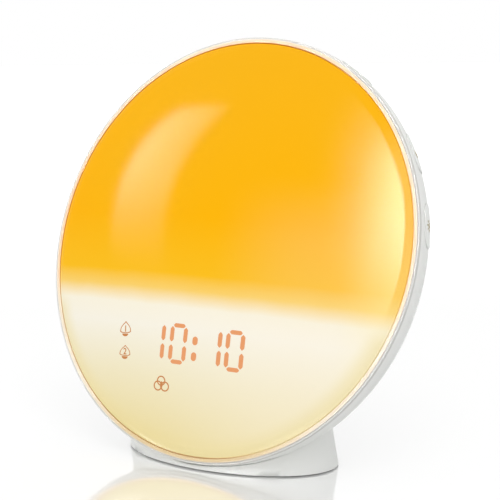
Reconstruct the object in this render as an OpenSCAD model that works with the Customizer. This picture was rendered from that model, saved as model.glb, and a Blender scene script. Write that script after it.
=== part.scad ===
// Sunrise alarm clock: a domed light disc that leans back on a low oval foot.
// The front faces -Y, +X is the right-hand side and the clock stands on z = 0.
// Most pieces are drawn in the disc's own frame: local z runs out of the lens and z = 0 is the rim plane.

/* [Disc] */
// Radius of the housing's front edge, which is the visible edge of the face
disc_r = 88.5; // [86.5:0.5:90]
// Height of the bowl's lowest point above the table
bowl_lift = 1.2; // [0.8:0.05:1.4]
// Set-back of the disc's centre, negative is towards the user
disc_y = -5.2; // [-6:0.2:-4.4]
// Backward lean of the disc in degrees
lean = 17; // [16:0.5:18]

/* [Lens] */
// Radius of the sphere that the lens is a cap of
lens_sphere_r = 394; // [380:1:420]
// Radial width of the steeper band at the lens edge
lens_band = 4; // [3.4:0.1:4.6]
// Edge radius of that band
lens_band_r = 11; // [10.5:0.1:13]
// Thickness of the lens
lens_t = 2.2; // [1.8:0.1:2.4]

/* [Trim ring] */
// Radial width of the ring's face
trim_w = 1.45; // [1.3:0.05:1.6]
// Width of the housing's lip round the ring
trim_lip = 0.75; // [0.6:0.05:0.9]
// Height of the ring's visible side
trim_h = 1; // [0.8:0.1:1.1]
// Gap all round the lens edge
trim_gap = 0.55; // [0.4:0.05:0.7]

/* [Housing] */
// Radius of the housing's rounded edge
shell_edge_r = 20; // [19.5:0.1:20.5]
// Depth of the bowl behind the rim
shell_depth = 42; // [42:0.2:44]
// Wall thickness of the housing
shell_t = 2.2; // [2:0.1:2.4]

/* [Foot] */
// Half length of the foot's oval at the table
foot_a = 48.9; // [48.4:0.1:50]
// Half depth of the foot's oval at the table
foot_b = 29.3; // [28.9:0.1:30.5]
// Thickness of the rubber mat under the foot
mat_t = 0.6; // [0.5:0.1:0.8]

/* [Keys] */
// Length of a key along the rim
key_len = 17.2; // [16.4:0.2:17.8]
// Width of a key
key_w = 7.8; // [7.4:0.1:8]
// How far a key stands out of the wall
key_proud = 0.4; // [0.3:0.05:0.6]
// Travel of a key
key_travel = 0.5; // [0.3:0.05:0.6]
// Gap round a key in its slot
key_gap = 0.25; // [0.2:0.05:0.35]

/* [Display] */
// Height of a digit between the middles of its end segments
digit_h = 14.7; // [14:0.1:15.2]
// Width of a digit between the middles of its side segments
digit_w = 6.8; // [6.4:0.1:7.2]
// Distance between the two digits of a pair
digit_pitch = 10.9; // [10.4:0.1:11.4]
// Distance from the colon to the middle of a pair
pair_offset = 13.85; // [13.6:0.05:14.2]
// Drop of the display's middle below the disc's centre
display_drop = 42.2; // [41.4:0.1:42.8]

/* [Hidden] */
$fn = 96;
eps = 0.01;
side = [1, -1];

// ---- face: the ring's and the lens's radii, then the lens ----
trim_fit = 0.1;
trim_r = disc_r - trim_lip - trim_fit;
trim_face_r = trim_r - trim_w;
lens_r = trim_face_r - trim_gap;
cap_r = lens_r - lens_band;
cap_slope = asin(cap_r / lens_sphere_r);
band_slope = asin((lens_band + lens_band_r * sin(cap_slope)) / lens_band_r);
band_z = lens_band_r * (cos(cap_slope) - cos(band_slope));
cap_top = band_z + lens_sphere_r * (1 - cos(cap_slope));
cap_centre = cap_top - lens_sphere_r;
band_cx = cap_r - lens_band_r * sin(cap_slope);
band_cz = band_z - lens_band_r * cos(cap_slope);
lens_seat = -lens_t;
hook_angles = [44, 90, 136, 210, 270, 330];
hook_t = 1.6;
hook_w = 8;
hook_barb = 0.9;
hook_r = cap_r - 0.6;

// ---- trim ring ----
trim_leg_r = trim_face_r + 0.6;
trim_shelf_t = 0.8;
trim_shelf_r = cap_r + 2.2;
trim_back = lens_seat - trim_shelf_t;

// ---- bowl of the housing: an edge arc that runs into a large back arc ----
shell_edge_z = -3.4;
housing_front = -0.35;
edge_c = disc_r - sqrt(pow(shell_edge_r, 2) - pow(housing_front - shell_edge_z, 2));
shell_r = edge_c + shell_edge_r;
edge_back = shell_depth + shell_edge_z;
back_r = (edge_c * edge_c + edge_back * edge_back - shell_edge_r * shell_edge_r)
    / (2 * (edge_back - shell_edge_r));
back_c = back_r - shell_depth;
disc_z = bowl_lift + shell_edge_r + edge_c * cos(lean) - shell_edge_z * sin(lean);
join_angle = atan(edge_c / (back_c - shell_edge_z));

// ---- front frame, a tray behind the lens ----
flange_top = trim_back;
flange_t = 1.6;
flange_back = flange_top - flange_t;
flange_r = shell_r - shell_t - 0.4;
tray_top = -7.8;
tray_t = 1.6;
tray_back = tray_top - tray_t;
flange_w = 8.5;
tray_r = flange_r - flange_w;
tray_in = tray_r - tray_t;
board_t = 1.6;
light_board_top = tray_top + board_t;
baffle_v = -25;
baffle_t = 1.6;
light_board_r = tray_in - 2.4;
baffle_under_lens = 1.5;
light_screws = [[0, 40], [44, -10], [-44, -10], [44, -36], [-44, -36]];
light_boss_r = 2.6;
light_screw_l = 4.6;
light_screw_r = 0.95;
led_size = [3.2, 2.8, 1.2];
amber_rings = [[18, 6, 0], [38, 12, 15], [58, 18, 10]];
amber_low = -20;
white_spots = [[56, -31], [-56, -31], [50, -42], [-50, -42], [36, -54], [-34, -57.5], [18, -60], [2, -62]];

// ---- keys, their switches and boards ----
key_angles = [10, 29.5, 59];
key_depth = 8.3;
key_in = 3.6;
key_rest_gap = 0.3;
key_flange = 0.8;
key_stem = 2.4;
stem_root = 0.5;
switch_z = -11.5;
switch_inset = 9.5;
switch_r = flange_r - switch_inset;
plunger_out = 2.6;
plunger_in = 1.2;
stem_end_r = switch_r + plunger_out;
plunger_tip_r = switch_r - plunger_in;
switch_size = [4.5, 6];
switch_room = plunger_in + key_travel + 0.3;
plunger_r = 1.2;
plunger_bore_r = 1.26;
key_board_front = -13.4;
key_board_back = key_board_front - board_t;
key_board_span = [2, 67];
key_post_angles = [19.7, 44];
key_post_inset = 9;
key_post_r = switch_r - key_post_inset;
key_board_w = 14;
key_post_wide = 2.6;
key_screw_r = 0.95;
key_inner_r = edge_c + sqrt(pow(shell_edge_r - key_in, 2) - pow(switch_z - shell_edge_z, 2));
stem_length = key_inner_r + stem_root - stem_end_r;

// ---- main board ----
board_size = [70, 44];
board_inset = 31.5;
board_mid = [0, board_inset + board_size.y / 2 - flange_r];
board_front = -18.3;
board_back = board_front - board_t;
board_post_pitch = [62, 36];
board_posts = [for (sy = side) for (sx = side)
    board_mid + [sx * board_post_pitch.x / 2, sy * board_post_pitch.y / 2]];
board_post_r = 3;
board_screw_r = 1.2;
jack_spot = board_mid + [0, 10];
jack_r = 4;
jack_body = [12, 11];
jack_body_back = -35.4;
jack_bore_r = 2.75;
jack_pin_r = 1;
jack_bore_l = 9;
chips = [[-12, -6, 10, 10, 1.4], [14, -4, 7, 7, 1.2], [20, 8, 5, 6, 1.6], [-22, 6, 6, 5, 1.5]];
capacitors = [[24, -15, 3.1, 6.4], [15, -16, 3.1, 6.4], [-24, -14, 2.5, 5], [-16, -16, 2.5, 5]];
connector_h = 4;
led_plug = board_mid + [0, 18];
display_plug = board_mid + [0, -18];
speaker_plug = board_mid + [16, 19];
key_plug = board_mid + [32.5, 6];
led_plug_size = [16, 4];
small_plug_size = [6, 4];
key_plug_size = [4, 8];

// ---- screws that hold the frame to the housing ----
screw_places = [[30.2, 49.4], [27.2, -31]];
screw_spots = [for (p = screw_places) for (s = side) (flange_r - p.x) * [s * cos(p.y), sin(p.y)]];
tower_r = 5.4;
tower_top = -24;
tower_floor = 2;
post_gap = 0.1;
frame_post_r = 3.5;
frame_pilot_r = 1.5;
pilot_top = -12;

// ---- speaker ----
speaker_inset = 57.5;
speaker_spot = [0, flange_r - speaker_inset];
speaker_r = 20;
speaker_seat = -30;
speaker_ear_r = 22.5;
speaker_ears = [45, 135, 225, 315];
gasket_t = 0.5;
cone_r = 16.4;
coil_r = 5.6;
coil_t = 0.3;
cone_t = 0.5;
cone_edge_z = -29.2;
cone_neck_z = -24.4;
coil_top = -18;
magnet_r = 11;
magnet_bore_r = 7;
pole_r = 4.8;
magnet_floor = -21;
magnet_plate = -16;
magnet_top = -15;
basket_r = 18;
speaker_flange_t = 1.5;
grille_pitch = 3.6;
grille_hole_r = 0.9;

// ---- clock back-up cell ----
cell_spot = [-36, -7.4];
cell_r = 10;
cell_h = 3.2;
door_spot = [-36, -4];
door_size = [25, 31];
door_corner = 4;
door_gap = 0.25;
door_screw_spot = [-36, 7.5];
pocket_wall = 2.2;
pocket_top = -24;
pocket_floor = -25.6;
holder_t = 0.8;
holder_r = 11.3;
contact_t = 0.3;
cell_top = pocket_floor - holder_t - contact_t;
leg_slot = [-26.85, -13];
door_t = 1.8;
door_posts = [[-46.3, -17.3], [-25.7, -17.3]];
door_post_t = 2.4;
door_post_rest = door_post_t - bowl_d(norm(door_posts[0]), 0);
door_post_r = 1.4;
door_boss_r = 3;
door_screw_sink = 1.7;
door_boss_t = 3.8;
door_screw_seat = door_screw_sink - bowl_d(norm(door_screw_spot), 0);
door_rest = door_boss_t - bowl_d(norm(door_screw_spot), 0);
door_screw_r = 0.95;
leg_slot_size = [4, 4];

// ---- display ----
module_size = [58, 20];
lens_room = 0.6;
module_top = lens_back(norm([module_size.x / 2, display_drop + module_size.y / 2])) - lens_room;
segment_t = 0.35;
segment_w = 1.85;
colon_gap = 3.06;
icon_spots = [[-36.6, -39.5], [-36.6, -49], [-14.7, -59.3]];
icon_guide_r = 4;
icon_room = 0.85;

// ---- foot ----
foot_taper = [0.09, 0.35];
foot_shift = -0.05;
foot_hole = [24, 8];
foot_hole_y = -18;
foot_fit = 0.15;
blend_share = 0.6;
blend_reach = 0.3;
blend_reach_back = 0.15;
foot_steps = 90;
blend_steps = 8;
saddle_steps = 11;
mat_r = 23;
mat_half = 20;
mat_notch_r = 15;
mat_notch_y = -30;
foot_screw_spots = [[34, -6], [-34, -6], [20, 10], [-20, 10]];
foot_screw_grip = 6;
foot_screw_l = 12;
foot_pockets = [[33, 6, 12], [-33, 6, 12], [0, 10, 20]];
foot_pocket_r = 7;
foot_boss_r = 3.6;
foot_bore_r = 1.5;
foot_head_r = 3;

// ---- leads ----
lead_r = 0.6;
lead_pitch = 5;
lead_tail = 3.5;
speaker_lead_x = [6, 10];
speaker_lead_ring = 19.2;
key_lead_start = [key_post_r - 2.5, 5];
key_lead_bend = key_plug + [10.5, 12];

// ======== frames and small helpers ========

// The disc's frame: x to the right, y up the face, z out of the lens
module in_disc() {
    translate([0, disc_y, disc_z]) rotate([90 - lean, 0, 0]) children();
}

// Inside the disc's frame, turned so that local x points out through the rim at an angle
module at_rim(angle) {
    rotate([0, 0, angle]) children();
}

function rim_angle(s, k) = s > 0 ? key_angles[k] : 180 - key_angles[k];

module ring(r_out, r_in, z0, z1) {
    translate([0, 0, z0]) difference() {
        cylinder(r = r_out, h = z1 - z0);
        translate([0, 0, -1]) cylinder(r = r_in, h = z1 - z0 + 2);
    }
}

module disc_at(spot, r, z0, z1) {
    translate([spot.x, spot.y, z0]) cylinder(r = r, h = z1 - z0);
}

module block(spot, size, z0, z1) {
    translate([spot.x - size.x / 2, spot.y - size.y / 2, z0]) cube([size.x, size.y, z1 - z0]);
}

module rounded_block(spot, size, corner, z0, z1) {
    for (sx = side) for (sy = side)
        disc_at([spot.x + sx * (size.x / 2 - corner), spot.y + sy * (size.y / 2 - corner)], corner, z0, z1);
    block(spot, [size.x - 2 * corner, size.y], z0, z1);
    block(spot, [size.x, size.y - 2 * corner], z0, z1);
}

// A cross-head screw: the head stands on z = 0 and reaches to +z, the shank runs down to -length
module screw(head_r, head_h, shank_r, length) {
    difference() {
        cylinder(r = head_r, h = head_h);
        for (turn = [0, 90]) rotate([0, 0, turn])
            translate([-head_r * 0.55, -0.3, head_h * 0.5]) cube([head_r * 1.1, 0.6, head_h]);
    }
    translate([0, 0, -length]) cylinder(r = shank_r, h = length + eps);
}

// A screw whose head looks backwards, with its seat at z0
module back_screw(spot, z0, head_r, head_h, shank_r, length) {
    translate([spot.x, spot.y, z0]) rotate([180, 0, 0]) screw(head_r, head_h, shank_r, length);
}

// ======== lens and trim ring ========

// Half section of the lens, its outside moved inwards by inset, cut off below z = bottom
module lens_section(inset, bottom) {
    intersection() {
        translate([0, cap_centre]) circle(r = lens_sphere_r - inset, $fn = 720);
        translate([0, bottom]) square([cap_r, cap_top - bottom + 1]);
    }
    intersection() {
        translate([band_cx, band_cz]) circle(r = lens_band_r - inset);
        translate([cap_r, bottom]) square([lens_band, cap_top - bottom]);
    }
}

module lens_hooks() {
    barb_top = flange_back - 0.2;
    hook_bottom = barb_top - 1.4;
    for (a = hook_angles) at_rim(a) {
        translate([hook_r - hook_t, -hook_w / 2, hook_bottom]) cube([hook_t, hook_w, 0.6 - hook_bottom]);
        translate([hook_r - eps, -hook_w / 2, hook_bottom])
            cube([hook_barb, hook_w, barb_top - hook_bottom]);
    }
}

// Height of the lens's inner face at radius r
function lens_back(r) = cap_centre + sqrt(pow(lens_sphere_r - lens_t, 2) - r * r);

module lens_dome() {
    color("orange") in_disc() {
        rotate_extrude() difference() {
            lens_section(0, -lens_t);
            lens_section(lens_t, -lens_t - 1);
        }
        lens_hooks();
    }
}

module trim_ring() {
    color("cornsilk") in_disc() rotate_extrude() {
        translate([trim_face_r, -trim_h]) square([trim_w, trim_h]);
        translate([trim_face_r, trim_back]) square([trim_leg_r - trim_face_r, -trim_h - trim_back]);
        translate([trim_shelf_r, trim_back]) square([trim_face_r - trim_shelf_r, trim_shelf_t]);
    }
}

// ======== rear housing ========

// Half section of the bowl, its outside moved inwards by inset, cut off in front of z = front
module bowl_section(inset, front) {
    depth = shell_depth + abs(inset) + 1;
    join_r = (back_r - inset) * sin(join_angle);
    intersection() {
        translate([0, back_c]) circle(r = back_r - inset, $fn = 720);
        translate([0, -depth]) square([join_r, depth + front]);
    }
    intersection() {
        translate([edge_c, shell_edge_z]) circle(r = shell_edge_r - inset);
        translate([join_r, -depth]) square([shell_edge_r + 30, depth + front]);
    }
}

module bowl_solid(inset, front) {
    rotate_extrude() bowl_section(inset, front);
}

// Depth behind the rim of the bowl's outside, moved outwards by grow, at radius r
function bowl_d(r, grow) =
    r > (back_r + grow) * sin(join_angle)
    ? -shell_edge_z + sqrt(max(0, pow(shell_edge_r + grow, 2) - pow(r - edge_c, 2)))
    : sqrt(pow(back_r + grow, 2) - r * r) - back_c;

// A stadium prism across a key's place, running outwards along local x
module key_prism(margin, x0, x1) {
    len = key_len + 2 * margin;
    wid = key_w + 2 * margin;
    translate([x0, 0, -key_depth]) rotate([90, 0, 90]) {
        for (s = side) translate([s * (len - wid) / 2, 0, 0]) cylinder(r = wid / 2, h = x1 - x0);
        translate([(wid - len) / 2, -wid / 2, 0]) cube([len - wid, wid, x1 - x0]);
    }
}

module grille_holes() {
    for (row = [0:4]) for (k = [0:max(0, 6 * row - 1)]) {
        turn = row == 0 ? 0 : 60 * k / row;
        disc_at(speaker_spot + row * grille_pitch * [cos(turn), sin(turn)], grille_hole_r,
            -shell_depth - 1, speaker_seat);
    }
}

module speaker_bosses(r, z0, z1) {
    for (a = speaker_ears) disc_at(speaker_spot + speaker_ear_r * [cos(a), sin(a)], r, z0, z1);
}

// Everything that stands on the inside of the bowl's wall
module housing_towers() {
    for (s = screw_spots) disc_at(s, tower_r, -shell_depth, tower_top);
    difference() {
        union() {
            disc_at(speaker_spot, speaker_r, -shell_depth, speaker_seat);
            speaker_bosses(speaker_boss_r, -shell_depth, speaker_seat);
        }
        disc_at(speaker_spot, cone_r + 1.2, -shell_depth - 1, speaker_seat + 1);
        speaker_bosses(speaker_screw_r + 0.05, speaker_seat - 3, speaker_seat + 1);
    }
    difference() {
        rounded_block(door_spot, door_size + 2 * [pocket_wall, pocket_wall], door_corner,
            -shell_depth, pocket_top);
        rounded_block(door_spot, door_size, door_corner, -shell_depth - 1, pocket_floor);
        block(leg_slot, leg_slot_size, pocket_floor - 1, pocket_top + 1);
    }
    disc_at(door_screw_spot, door_boss_r, door_rest, pocket_floor + eps);
    for (s = door_posts) disc_at(s, door_post_r, door_post_rest, pocket_floor + eps);
}

module housing_cuts() {
    for (s = screw_spots) {
        disc_at(s, 3.5, -shell_depth - 1, tower_top - tower_floor);
        disc_at(s, 1.7, -shell_depth, tower_top + 1);
    }
    disc_at(jack_spot, jack_r + 0.3, -shell_depth - 1, speaker_seat);
    disc_at(door_screw_spot, door_screw_r + 0.05, -shell_depth, pocket_floor - 1.5);
    for (s = side) for (k = [0:2]) at_rim(rim_angle(s, k)) key_prism(key_gap, switch_r, disc_r + 6);
}

// The opening in the bowl's wall that the battery door closes
module door_opening() {
    difference() {
        rounded_block(door_spot, door_size, door_corner, -shell_depth - 1, pocket_floor - 1.5);
        disc_at(door_screw_spot, door_boss_r, door_rest, 0);
        for (s = door_posts) disc_at(s, door_post_r, door_post_rest, 0);
    }
}

// The bowl itself, with the step for the trim ring
module bowl_shell() {
    in_disc() difference() {
        bowl_solid(0, housing_front);
        bowl_solid(shell_t, 1);
        disc_at([0, 0], trim_leg_r + 0.15, trim_back, 1);
        disc_at([0, 0], trim_r + trim_fit, -trim_h - trim_fit, 1);
    }
}

module rear_housing() {
    color("white") difference() {
        union() {
            bowl_shell();
            in_disc() intersection() {
                bowl_solid(shell_t / 2, speaker_seat / 2);
                housing_towers();
            }
            intersection() {
                in_disc() bowl_solid(shell_t / 2, -3);
                foot_bosses();
            }
        }
        in_disc() {
            housing_cuts();
            door_opening();
            grille_holes();
        }
        foot_bores();
    }
}

// ======== foot ========

// A point of the disc's frame, at height v up the face and depth d behind the rim, in the table's frame
function at_table(x, v, d) =
    [x, disc_y + v * sin(lean) + d * cos(lean), disc_z + v * cos(lean) - d * sin(lean)];

// The lowest line of the bowl, where its edge arc starts
function edge_v(x) = -sqrt(pow(shell_r + foot_fit, 2) - x * x);
function edge_point(x) = at_table(x, edge_v(x), -shell_edge_z);

function shell_point(x, v) = at_table(x, v, bowl_d(norm([x, v]), foot_fit));

function find_v(x, y, lo, hi, n) =
    let(mid = (lo + hi) / 2)
    n == 0 ? mid
    : shell_point(x, mid).y < y ? find_v(x, y, mid, hi, n - 1)
    : find_v(x, y, lo, mid, n - 1);

// Height of the bowl's underside above a point of the table; in front of the rim the rim's own height
function underside(x, y) =
    y < edge_point(x).y ? edge_point(x).z
    : shell_point(x, find_v(x, y, edge_v(x), 0, 20)).z;

// The foot's straight wall: an oval that shrinks a little with height
function oval(turn, z) = [
    (foot_a - foot_taper.x * z) * cos(turn),
    foot_shift * z + (foot_b - foot_taper.y * z) * sin(turn)
];

function meet_z(turn, lo, hi, n) =
    let(mid = (lo + hi) / 2, p = oval(turn, mid))
    n == 0 ? mid
    : mid < underside(p.x, p.y) ? meet_z(turn, mid, hi, n - 1)
    : meet_z(turn, lo, mid, n - 1);

// Where the blend ends on the bowl, in plan
function blend_end(turn, z) =
    let(
        p = oval(turn, z),
        reach = blend_share * z * (blend_reach + (blend_reach_back - blend_reach) * max(0, sin(turn))),
        x = p.x + reach * cos(turn)
    )
    [x, max(p.y + reach * sin(turn), edge_point(x).y)];

function above(p) = [p.x, p.y, underside(p.x, p.y)];

function curve(a, b, c, t) = (1 - t) * (1 - t) * a + 2 * t * (1 - t) * b + t * t * c;

// One upright section of the foot: up the wall, over the blend, back along the bowl, down at the hole
function foot_section(turn) =
    let(
        z = meet_z(turn, mat_t, 60, 24),
        wall_z = mat_t + (1 - blend_share) * (z - mat_t),
        wall_end = oval(turn, wall_z),
        corner = oval(turn, z),
        top = blend_end(turn, z),
        hole = [foot_hole.x * cos(turn), foot_hole_y + foot_hole.y * sin(turn)]
    )
    concat(
        [[oval(turn, mat_t).x, oval(turn, mat_t).y, mat_t]],
        [for (i = [0:blend_steps])
            curve([wall_end.x, wall_end.y, wall_z], [corner.x, corner.y, z], above(top), i / blend_steps)],
        [for (i = [1:saddle_steps]) above(top + (hole - top) * i / saddle_steps)],
        [[hole.x, hole.y, mat_t]]
    );

foot_rows = blend_steps + saddle_steps + 3;
foot_points = [for (k = [0:foot_steps - 1]) each foot_section(360 * k / foot_steps)];
function foot_index(k, row) = (k % foot_steps) * foot_rows + row % foot_rows;
foot_faces = [for (k = [0:foot_steps - 1]) for (row = [0:foot_rows - 1]) each [
    [foot_index(k, row), foot_index(k, row + 1), foot_index(k + 1, row + 1)],
    [foot_index(k, row), foot_index(k + 1, row + 1), foot_index(k + 1, row)]
]];

function foot_seat(s) = underside(s.x, s.y) - foot_screw_grip;

// Bosses inside the bowl, above the foot's screws
module foot_bosses() {
    for (s = foot_screw_spots) disc_at(s, foot_boss_r, foot_seat(s), foot_seat(s) + foot_screw_l + 2);
}

module foot_bores() {
    for (s = foot_screw_spots) disc_at(s, foot_bore_r, foot_seat(s), foot_seat(s) + foot_screw_l + 0.6);
}

module foot() {
    color("gainsboro") difference() {
        polyhedron(points = foot_points, faces = foot_faces, convexity = 6);
        for (s = foot_screw_spots) {
            disc_at(s, foot_head_r + 0.4, -1, foot_seat(s));
            disc_at(s, foot_bore_r + 0.2, -1, foot_seat(s) + 2 * foot_screw_grip);
        }
        for (p = foot_pockets) disc_at(p, foot_pocket_r, -1, p.z);
    }
}

// The mat stops round the lowest part of the bowl
module foot_mat() {
    color("dimgray") difference() {
        union() {
            for (s = side) disc_at([s * mat_half, 0], mat_r, 0, mat_t);
            translate([-mat_half, -mat_r, 0]) cube([2 * mat_half, 2 * mat_r, mat_t]);
        }
        disc_at([0, mat_notch_y], mat_notch_r, -1, mat_t + 1);
    }
}

module foot_screws() {
    color("silver") for (s = foot_screw_spots)
        back_screw(s, foot_seat(s), foot_head_r, 2, foot_bore_r - 0.05, foot_screw_l);
}

module housing_screws() {
    color("silver") in_disc() for (s = screw_spots)
        back_screw(s, tower_top - tower_floor, 3, 1.8, frame_pilot_r - 0.05, 10);
}

// ======== front frame and light boards ========

module front_frame() {
    color("whitesmoke") in_disc() difference() {
        union() {
            ring(flange_r, tray_in, flange_back, flange_top);
            ring(tray_r, tray_in, tray_back, flange_top);
            disc_at([0, 0], tray_r, tray_back, tray_top);
            for (s = screw_spots) disc_at(s, frame_post_r, tower_top + post_gap, tray_back + eps);
            for (s = board_posts) disc_at(s, board_post_r, board_front, tray_back + eps);
            for (s = light_screws) disc_at(s, light_boss_r, tray_back - 2, tray_back + eps);
            for (s = side) for (a = key_post_angles) at_rim(s > 0 ? a : 180 - a)
                disc_at([key_post_r, 0], key_post_wide, key_board_front, tray_back + eps);
        }
        for (s = screw_spots) disc_at(s, frame_pilot_r, -shell_depth, pilot_top);
        for (s = board_posts) disc_at(s, board_screw_r + 0.05, -shell_depth, pilot_top);
        for (s = light_screws) disc_at(s, light_screw_r + 0.05, tray_back - 3, 0);
        for (s = side) for (a = key_post_angles) at_rim(s > 0 ? a : 180 - a)
            disc_at([key_post_r, 0], key_screw_r + 0.05, key_board_back, key_board_front + 3);
        for (a = hook_angles) at_rim(a)
            translate([hook_r - hook_t - 0.25, -hook_w / 2 - 0.3, flange_back - 1])
                cube([hook_t + 0.65, hook_w + 0.6, flange_t + 2]);
        for (s = side) for (k = [0:2]) at_rim(rim_angle(s, k))
            key_prism(key_gap + key_flange + 0.6, hook_r + hook_barb + 0.25, disc_r);
        for (plug = [led_plug, display_plug]) for (s = side)
            disc_at(plug + [s * lead_pitch, 0], lead_r + 0.6, tray_back - 1, tray_top + 1);
    }
}

module light_baffle() {
    color("white") in_disc() intersection() {
        block([0, baffle_v], [2 * tray_in - 1, baffle_t], tray_top, cap_top);
        disc_at([0, 0], tray_in - 0.3, tray_top, cap_top);
        translate([0, 0, cap_centre]) sphere(r = lens_sphere_r - lens_t - baffle_under_lens, $fn = 720);
    }
}

// The part of the round light board above or below the baffle
module board_segment(low, high) {
    difference() {
        intersection() {
            disc_at([0, 0], light_board_r, tray_top, light_board_top);
            block([0, (low + high) / 2], [2 * tray_r, high - low], tray_top, light_board_top);
        }
        for (s = light_screws) disc_at(s, light_screw_r + 0.2, tray_back, 0);
    }
}

module led(spot) {
    translate([0, 0, light_board_top]) {
        block(spot, [led_size.x, led_size.y], 0, led_size.z * 0.6);
        block(spot, [led_size.x - 0.5, led_size.y - 0.5], led_size.z * 0.5, led_size.z);
    }
}

module led_board() {
    color("seagreen") in_disc() board_segment(baffle_v + baffle_t, tray_r);
}

module amber_leds() {
    color("darkorange") in_disc() for (row = amber_rings) for (k = [0:row.y - 1]) {
        turn = 360 * k / row.y + row.z;
        spot = row.x * [cos(turn), sin(turn)];
        if (spot.y > amber_low) led(spot);
    }
}

module display_board() {
    color("seagreen") in_disc() board_segment(-tray_r, baffle_v - baffle_t);
}

module white_leds() {
    color("lightyellow") in_disc() for (spot = white_spots) led(spot);
}

// Screws of the two light boards and of the main board
module board_screws() {
    color("silver") in_disc() {
        for (s = light_screws) translate([s.x, s.y, light_board_top])
            screw(2, 1.1, light_screw_r, light_screw_l);
        for (s = board_posts) back_screw(s, board_back, 2.4, 1.4, board_screw_r, 6);
    }
}

// ======== display ========

module display_module() {
    color("dimgray") in_disc() difference() {
        rounded_block([0, -display_drop], module_size, 1.5, light_board_top, module_top);
        for (s = digit_spots) segments(s, 0.3, module_top - 2, module_top + 1);
        colon(0.3, module_top - 2, module_top + 1);
    }
}

digit_spots = [for (s = [-1, 1]) for (k = [-1, 1]) [s * pair_offset + k * digit_pitch / 2, -display_drop]];

// One bar with pointed ends, lying along x
module bar(length, wide, z0, z1) {
    half = length / 2;
    translate([0, 0, z0]) linear_extrude(z1 - z0)
        polygon([[-half, 0], [wide / 2 - half, wide / 2], [half - wide / 2, wide / 2], [half, 0],
            [half - wide / 2, -wide / 2], [wide / 2 - half, -wide / 2]]);
}

module segments(spot, grow, z0, z1) {
    wide = segment_w + grow;
    tall = digit_h / 2;
    for (k = [-1, 0, 1]) translate([spot.x, spot.y + k * tall, 0]) bar(digit_w - 0.35 + grow, wide, z0, z1);
    for (sx = [-1, 1]) for (sy = [-1, 1])
        translate([spot.x + sx * digit_w / 2, spot.y + sy * tall / 2, 0]) rotate([0, 0, 90])
            bar(tall - 0.35 + grow, wide, z0, z1);
}

module colon(grow, z0, z1) {
    for (s = side) disc_at([0, s * colon_gap - display_drop], segment_w / 2 + grow, z0, z1);
}

// The segments stand in the module's wells and end a little above its face
module digit_segments() {
    color("orangered") in_disc() {
        for (s = digit_spots) segments(s, 0, module_top - 2, module_top + segment_t);
        colon(0, module_top - 2, module_top + segment_t);
    }
}

module icon_guides() {
    color("antiquewhite") in_disc() for (s = icon_spots)
        disc_at(s, icon_guide_r, light_board_top, lens_back(norm(s) + icon_guide_r) - icon_room);
}

// ======== keys ========

// A key: a rounded cap in the wall, a flange that keeps it in, and a stem towards its switch
module key(s, k) {
    color("snow") in_disc() at_rim(rim_angle(s, k)) {
        intersection() {
            difference() {
                bowl_solid(-key_proud, 0);
                bowl_solid(key_in, 1);
            }
            key_prism(0, switch_r, disc_r + 6);
        }
        intersection() {
            difference() {
                bowl_solid(shell_t + key_rest_gap, 0);
                bowl_solid(key_in, 1);
            }
            key_prism(key_gap + key_flange, switch_r, disc_r + 6);
        }
        translate([stem_end_r, -key_stem / 2, switch_z - key_stem / 2])
            cube([stem_length, key_stem, key_stem]);
    }
}

module key_right_low() { key(1, 0); }
module key_right_mid() { key(1, 1); }
module key_right_high() { key(1, 2); }
module key_left_low() { key(-1, 0); }
module key_left_mid() { key(-1, 1); }
module key_left_high() { key(-1, 2); }

// The pin that a key pushes into its switch
module plunger(s, k) {
    color("goldenrod") in_disc() at_rim(rim_angle(s, k))
        translate([plunger_tip_r, 0, switch_z]) rotate([0, 90, 0])
            cylinder(r = plunger_r, h = stem_end_r - plunger_tip_r);
}

module plunger_right_low() { plunger(1, 0); }
module plunger_right_mid() { plunger(1, 1); }
module plunger_right_high() { plunger(1, 2); }
module plunger_left_low() { plunger(-1, 0); }
module plunger_left_mid() { plunger(-1, 1); }
module plunger_left_high() { plunger(-1, 2); }

module tact_switches(s) {
    color("dimgray") in_disc() for (k = [0:2]) at_rim(rim_angle(s, k)) difference() {
        translate([switch_r - switch_size.x, -switch_size.y / 2, key_board_front])
            cube([switch_size.x, switch_size.y, 2 * (switch_z - key_board_front)]);
        translate([switch_r - switch_room, 0, switch_z]) rotate([0, 90, 0])
            cylinder(r = plunger_bore_r, h = switch_room + 1);
    }
}

module tact_switches_right() { tact_switches(1); }
module tact_switches_left() { tact_switches(-1); }

module key_board(s) {
    reach = 2 * disc_r;
    middle = (key_board_span.x + key_board_span.y) / 2;
    wedge = [for (a = [key_board_span.x, middle, key_board_span.y]) reach * [s * cos(a), sin(a)]];
    color("seagreen") in_disc() difference() {
        intersection() {
            ring(switch_r, switch_r - key_board_w, key_board_back, key_board_front);
            translate([0, 0, key_board_back]) linear_extrude(board_t) polygon(concat([[0, 0]], wedge));
        }
        for (a = key_post_angles) at_rim(s > 0 ? a : 180 - a)
            disc_at([key_post_r, 0], key_screw_r + 0.2, key_board_back - 1, key_board_front + 1);
    }
}

module key_board_right() { key_board(1); }
module key_board_left() { key_board(-1); }

module key_board_screws() {
    color("silver") in_disc() for (s = side) for (a = key_post_angles) at_rim(s > 0 ? a : 180 - a)
        back_screw([key_post_r, 0], key_board_back, 2, 1.2, key_screw_r, 4);
}

// ======== main board ========

module main_board() {
    color("seagreen") in_disc() difference() {
        rounded_block(board_mid, board_size, 2, board_back, board_front);
        for (s = board_posts) disc_at(s, board_screw_r + 0.2, board_back - 1, board_front + 1);
    }
}

module board_chips() {
    color("black") in_disc() for (c = chips)
        block(board_mid + [c[0], c[1]], [c[2], c[3]], board_front, board_front + c[4]);
}

module board_capacitors() {
    color("midnightblue") in_disc() for (c = capacitors)
        disc_at(board_mid + [c[0], c[1]], c[2], board_front, board_front + c[3]);
}

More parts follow.
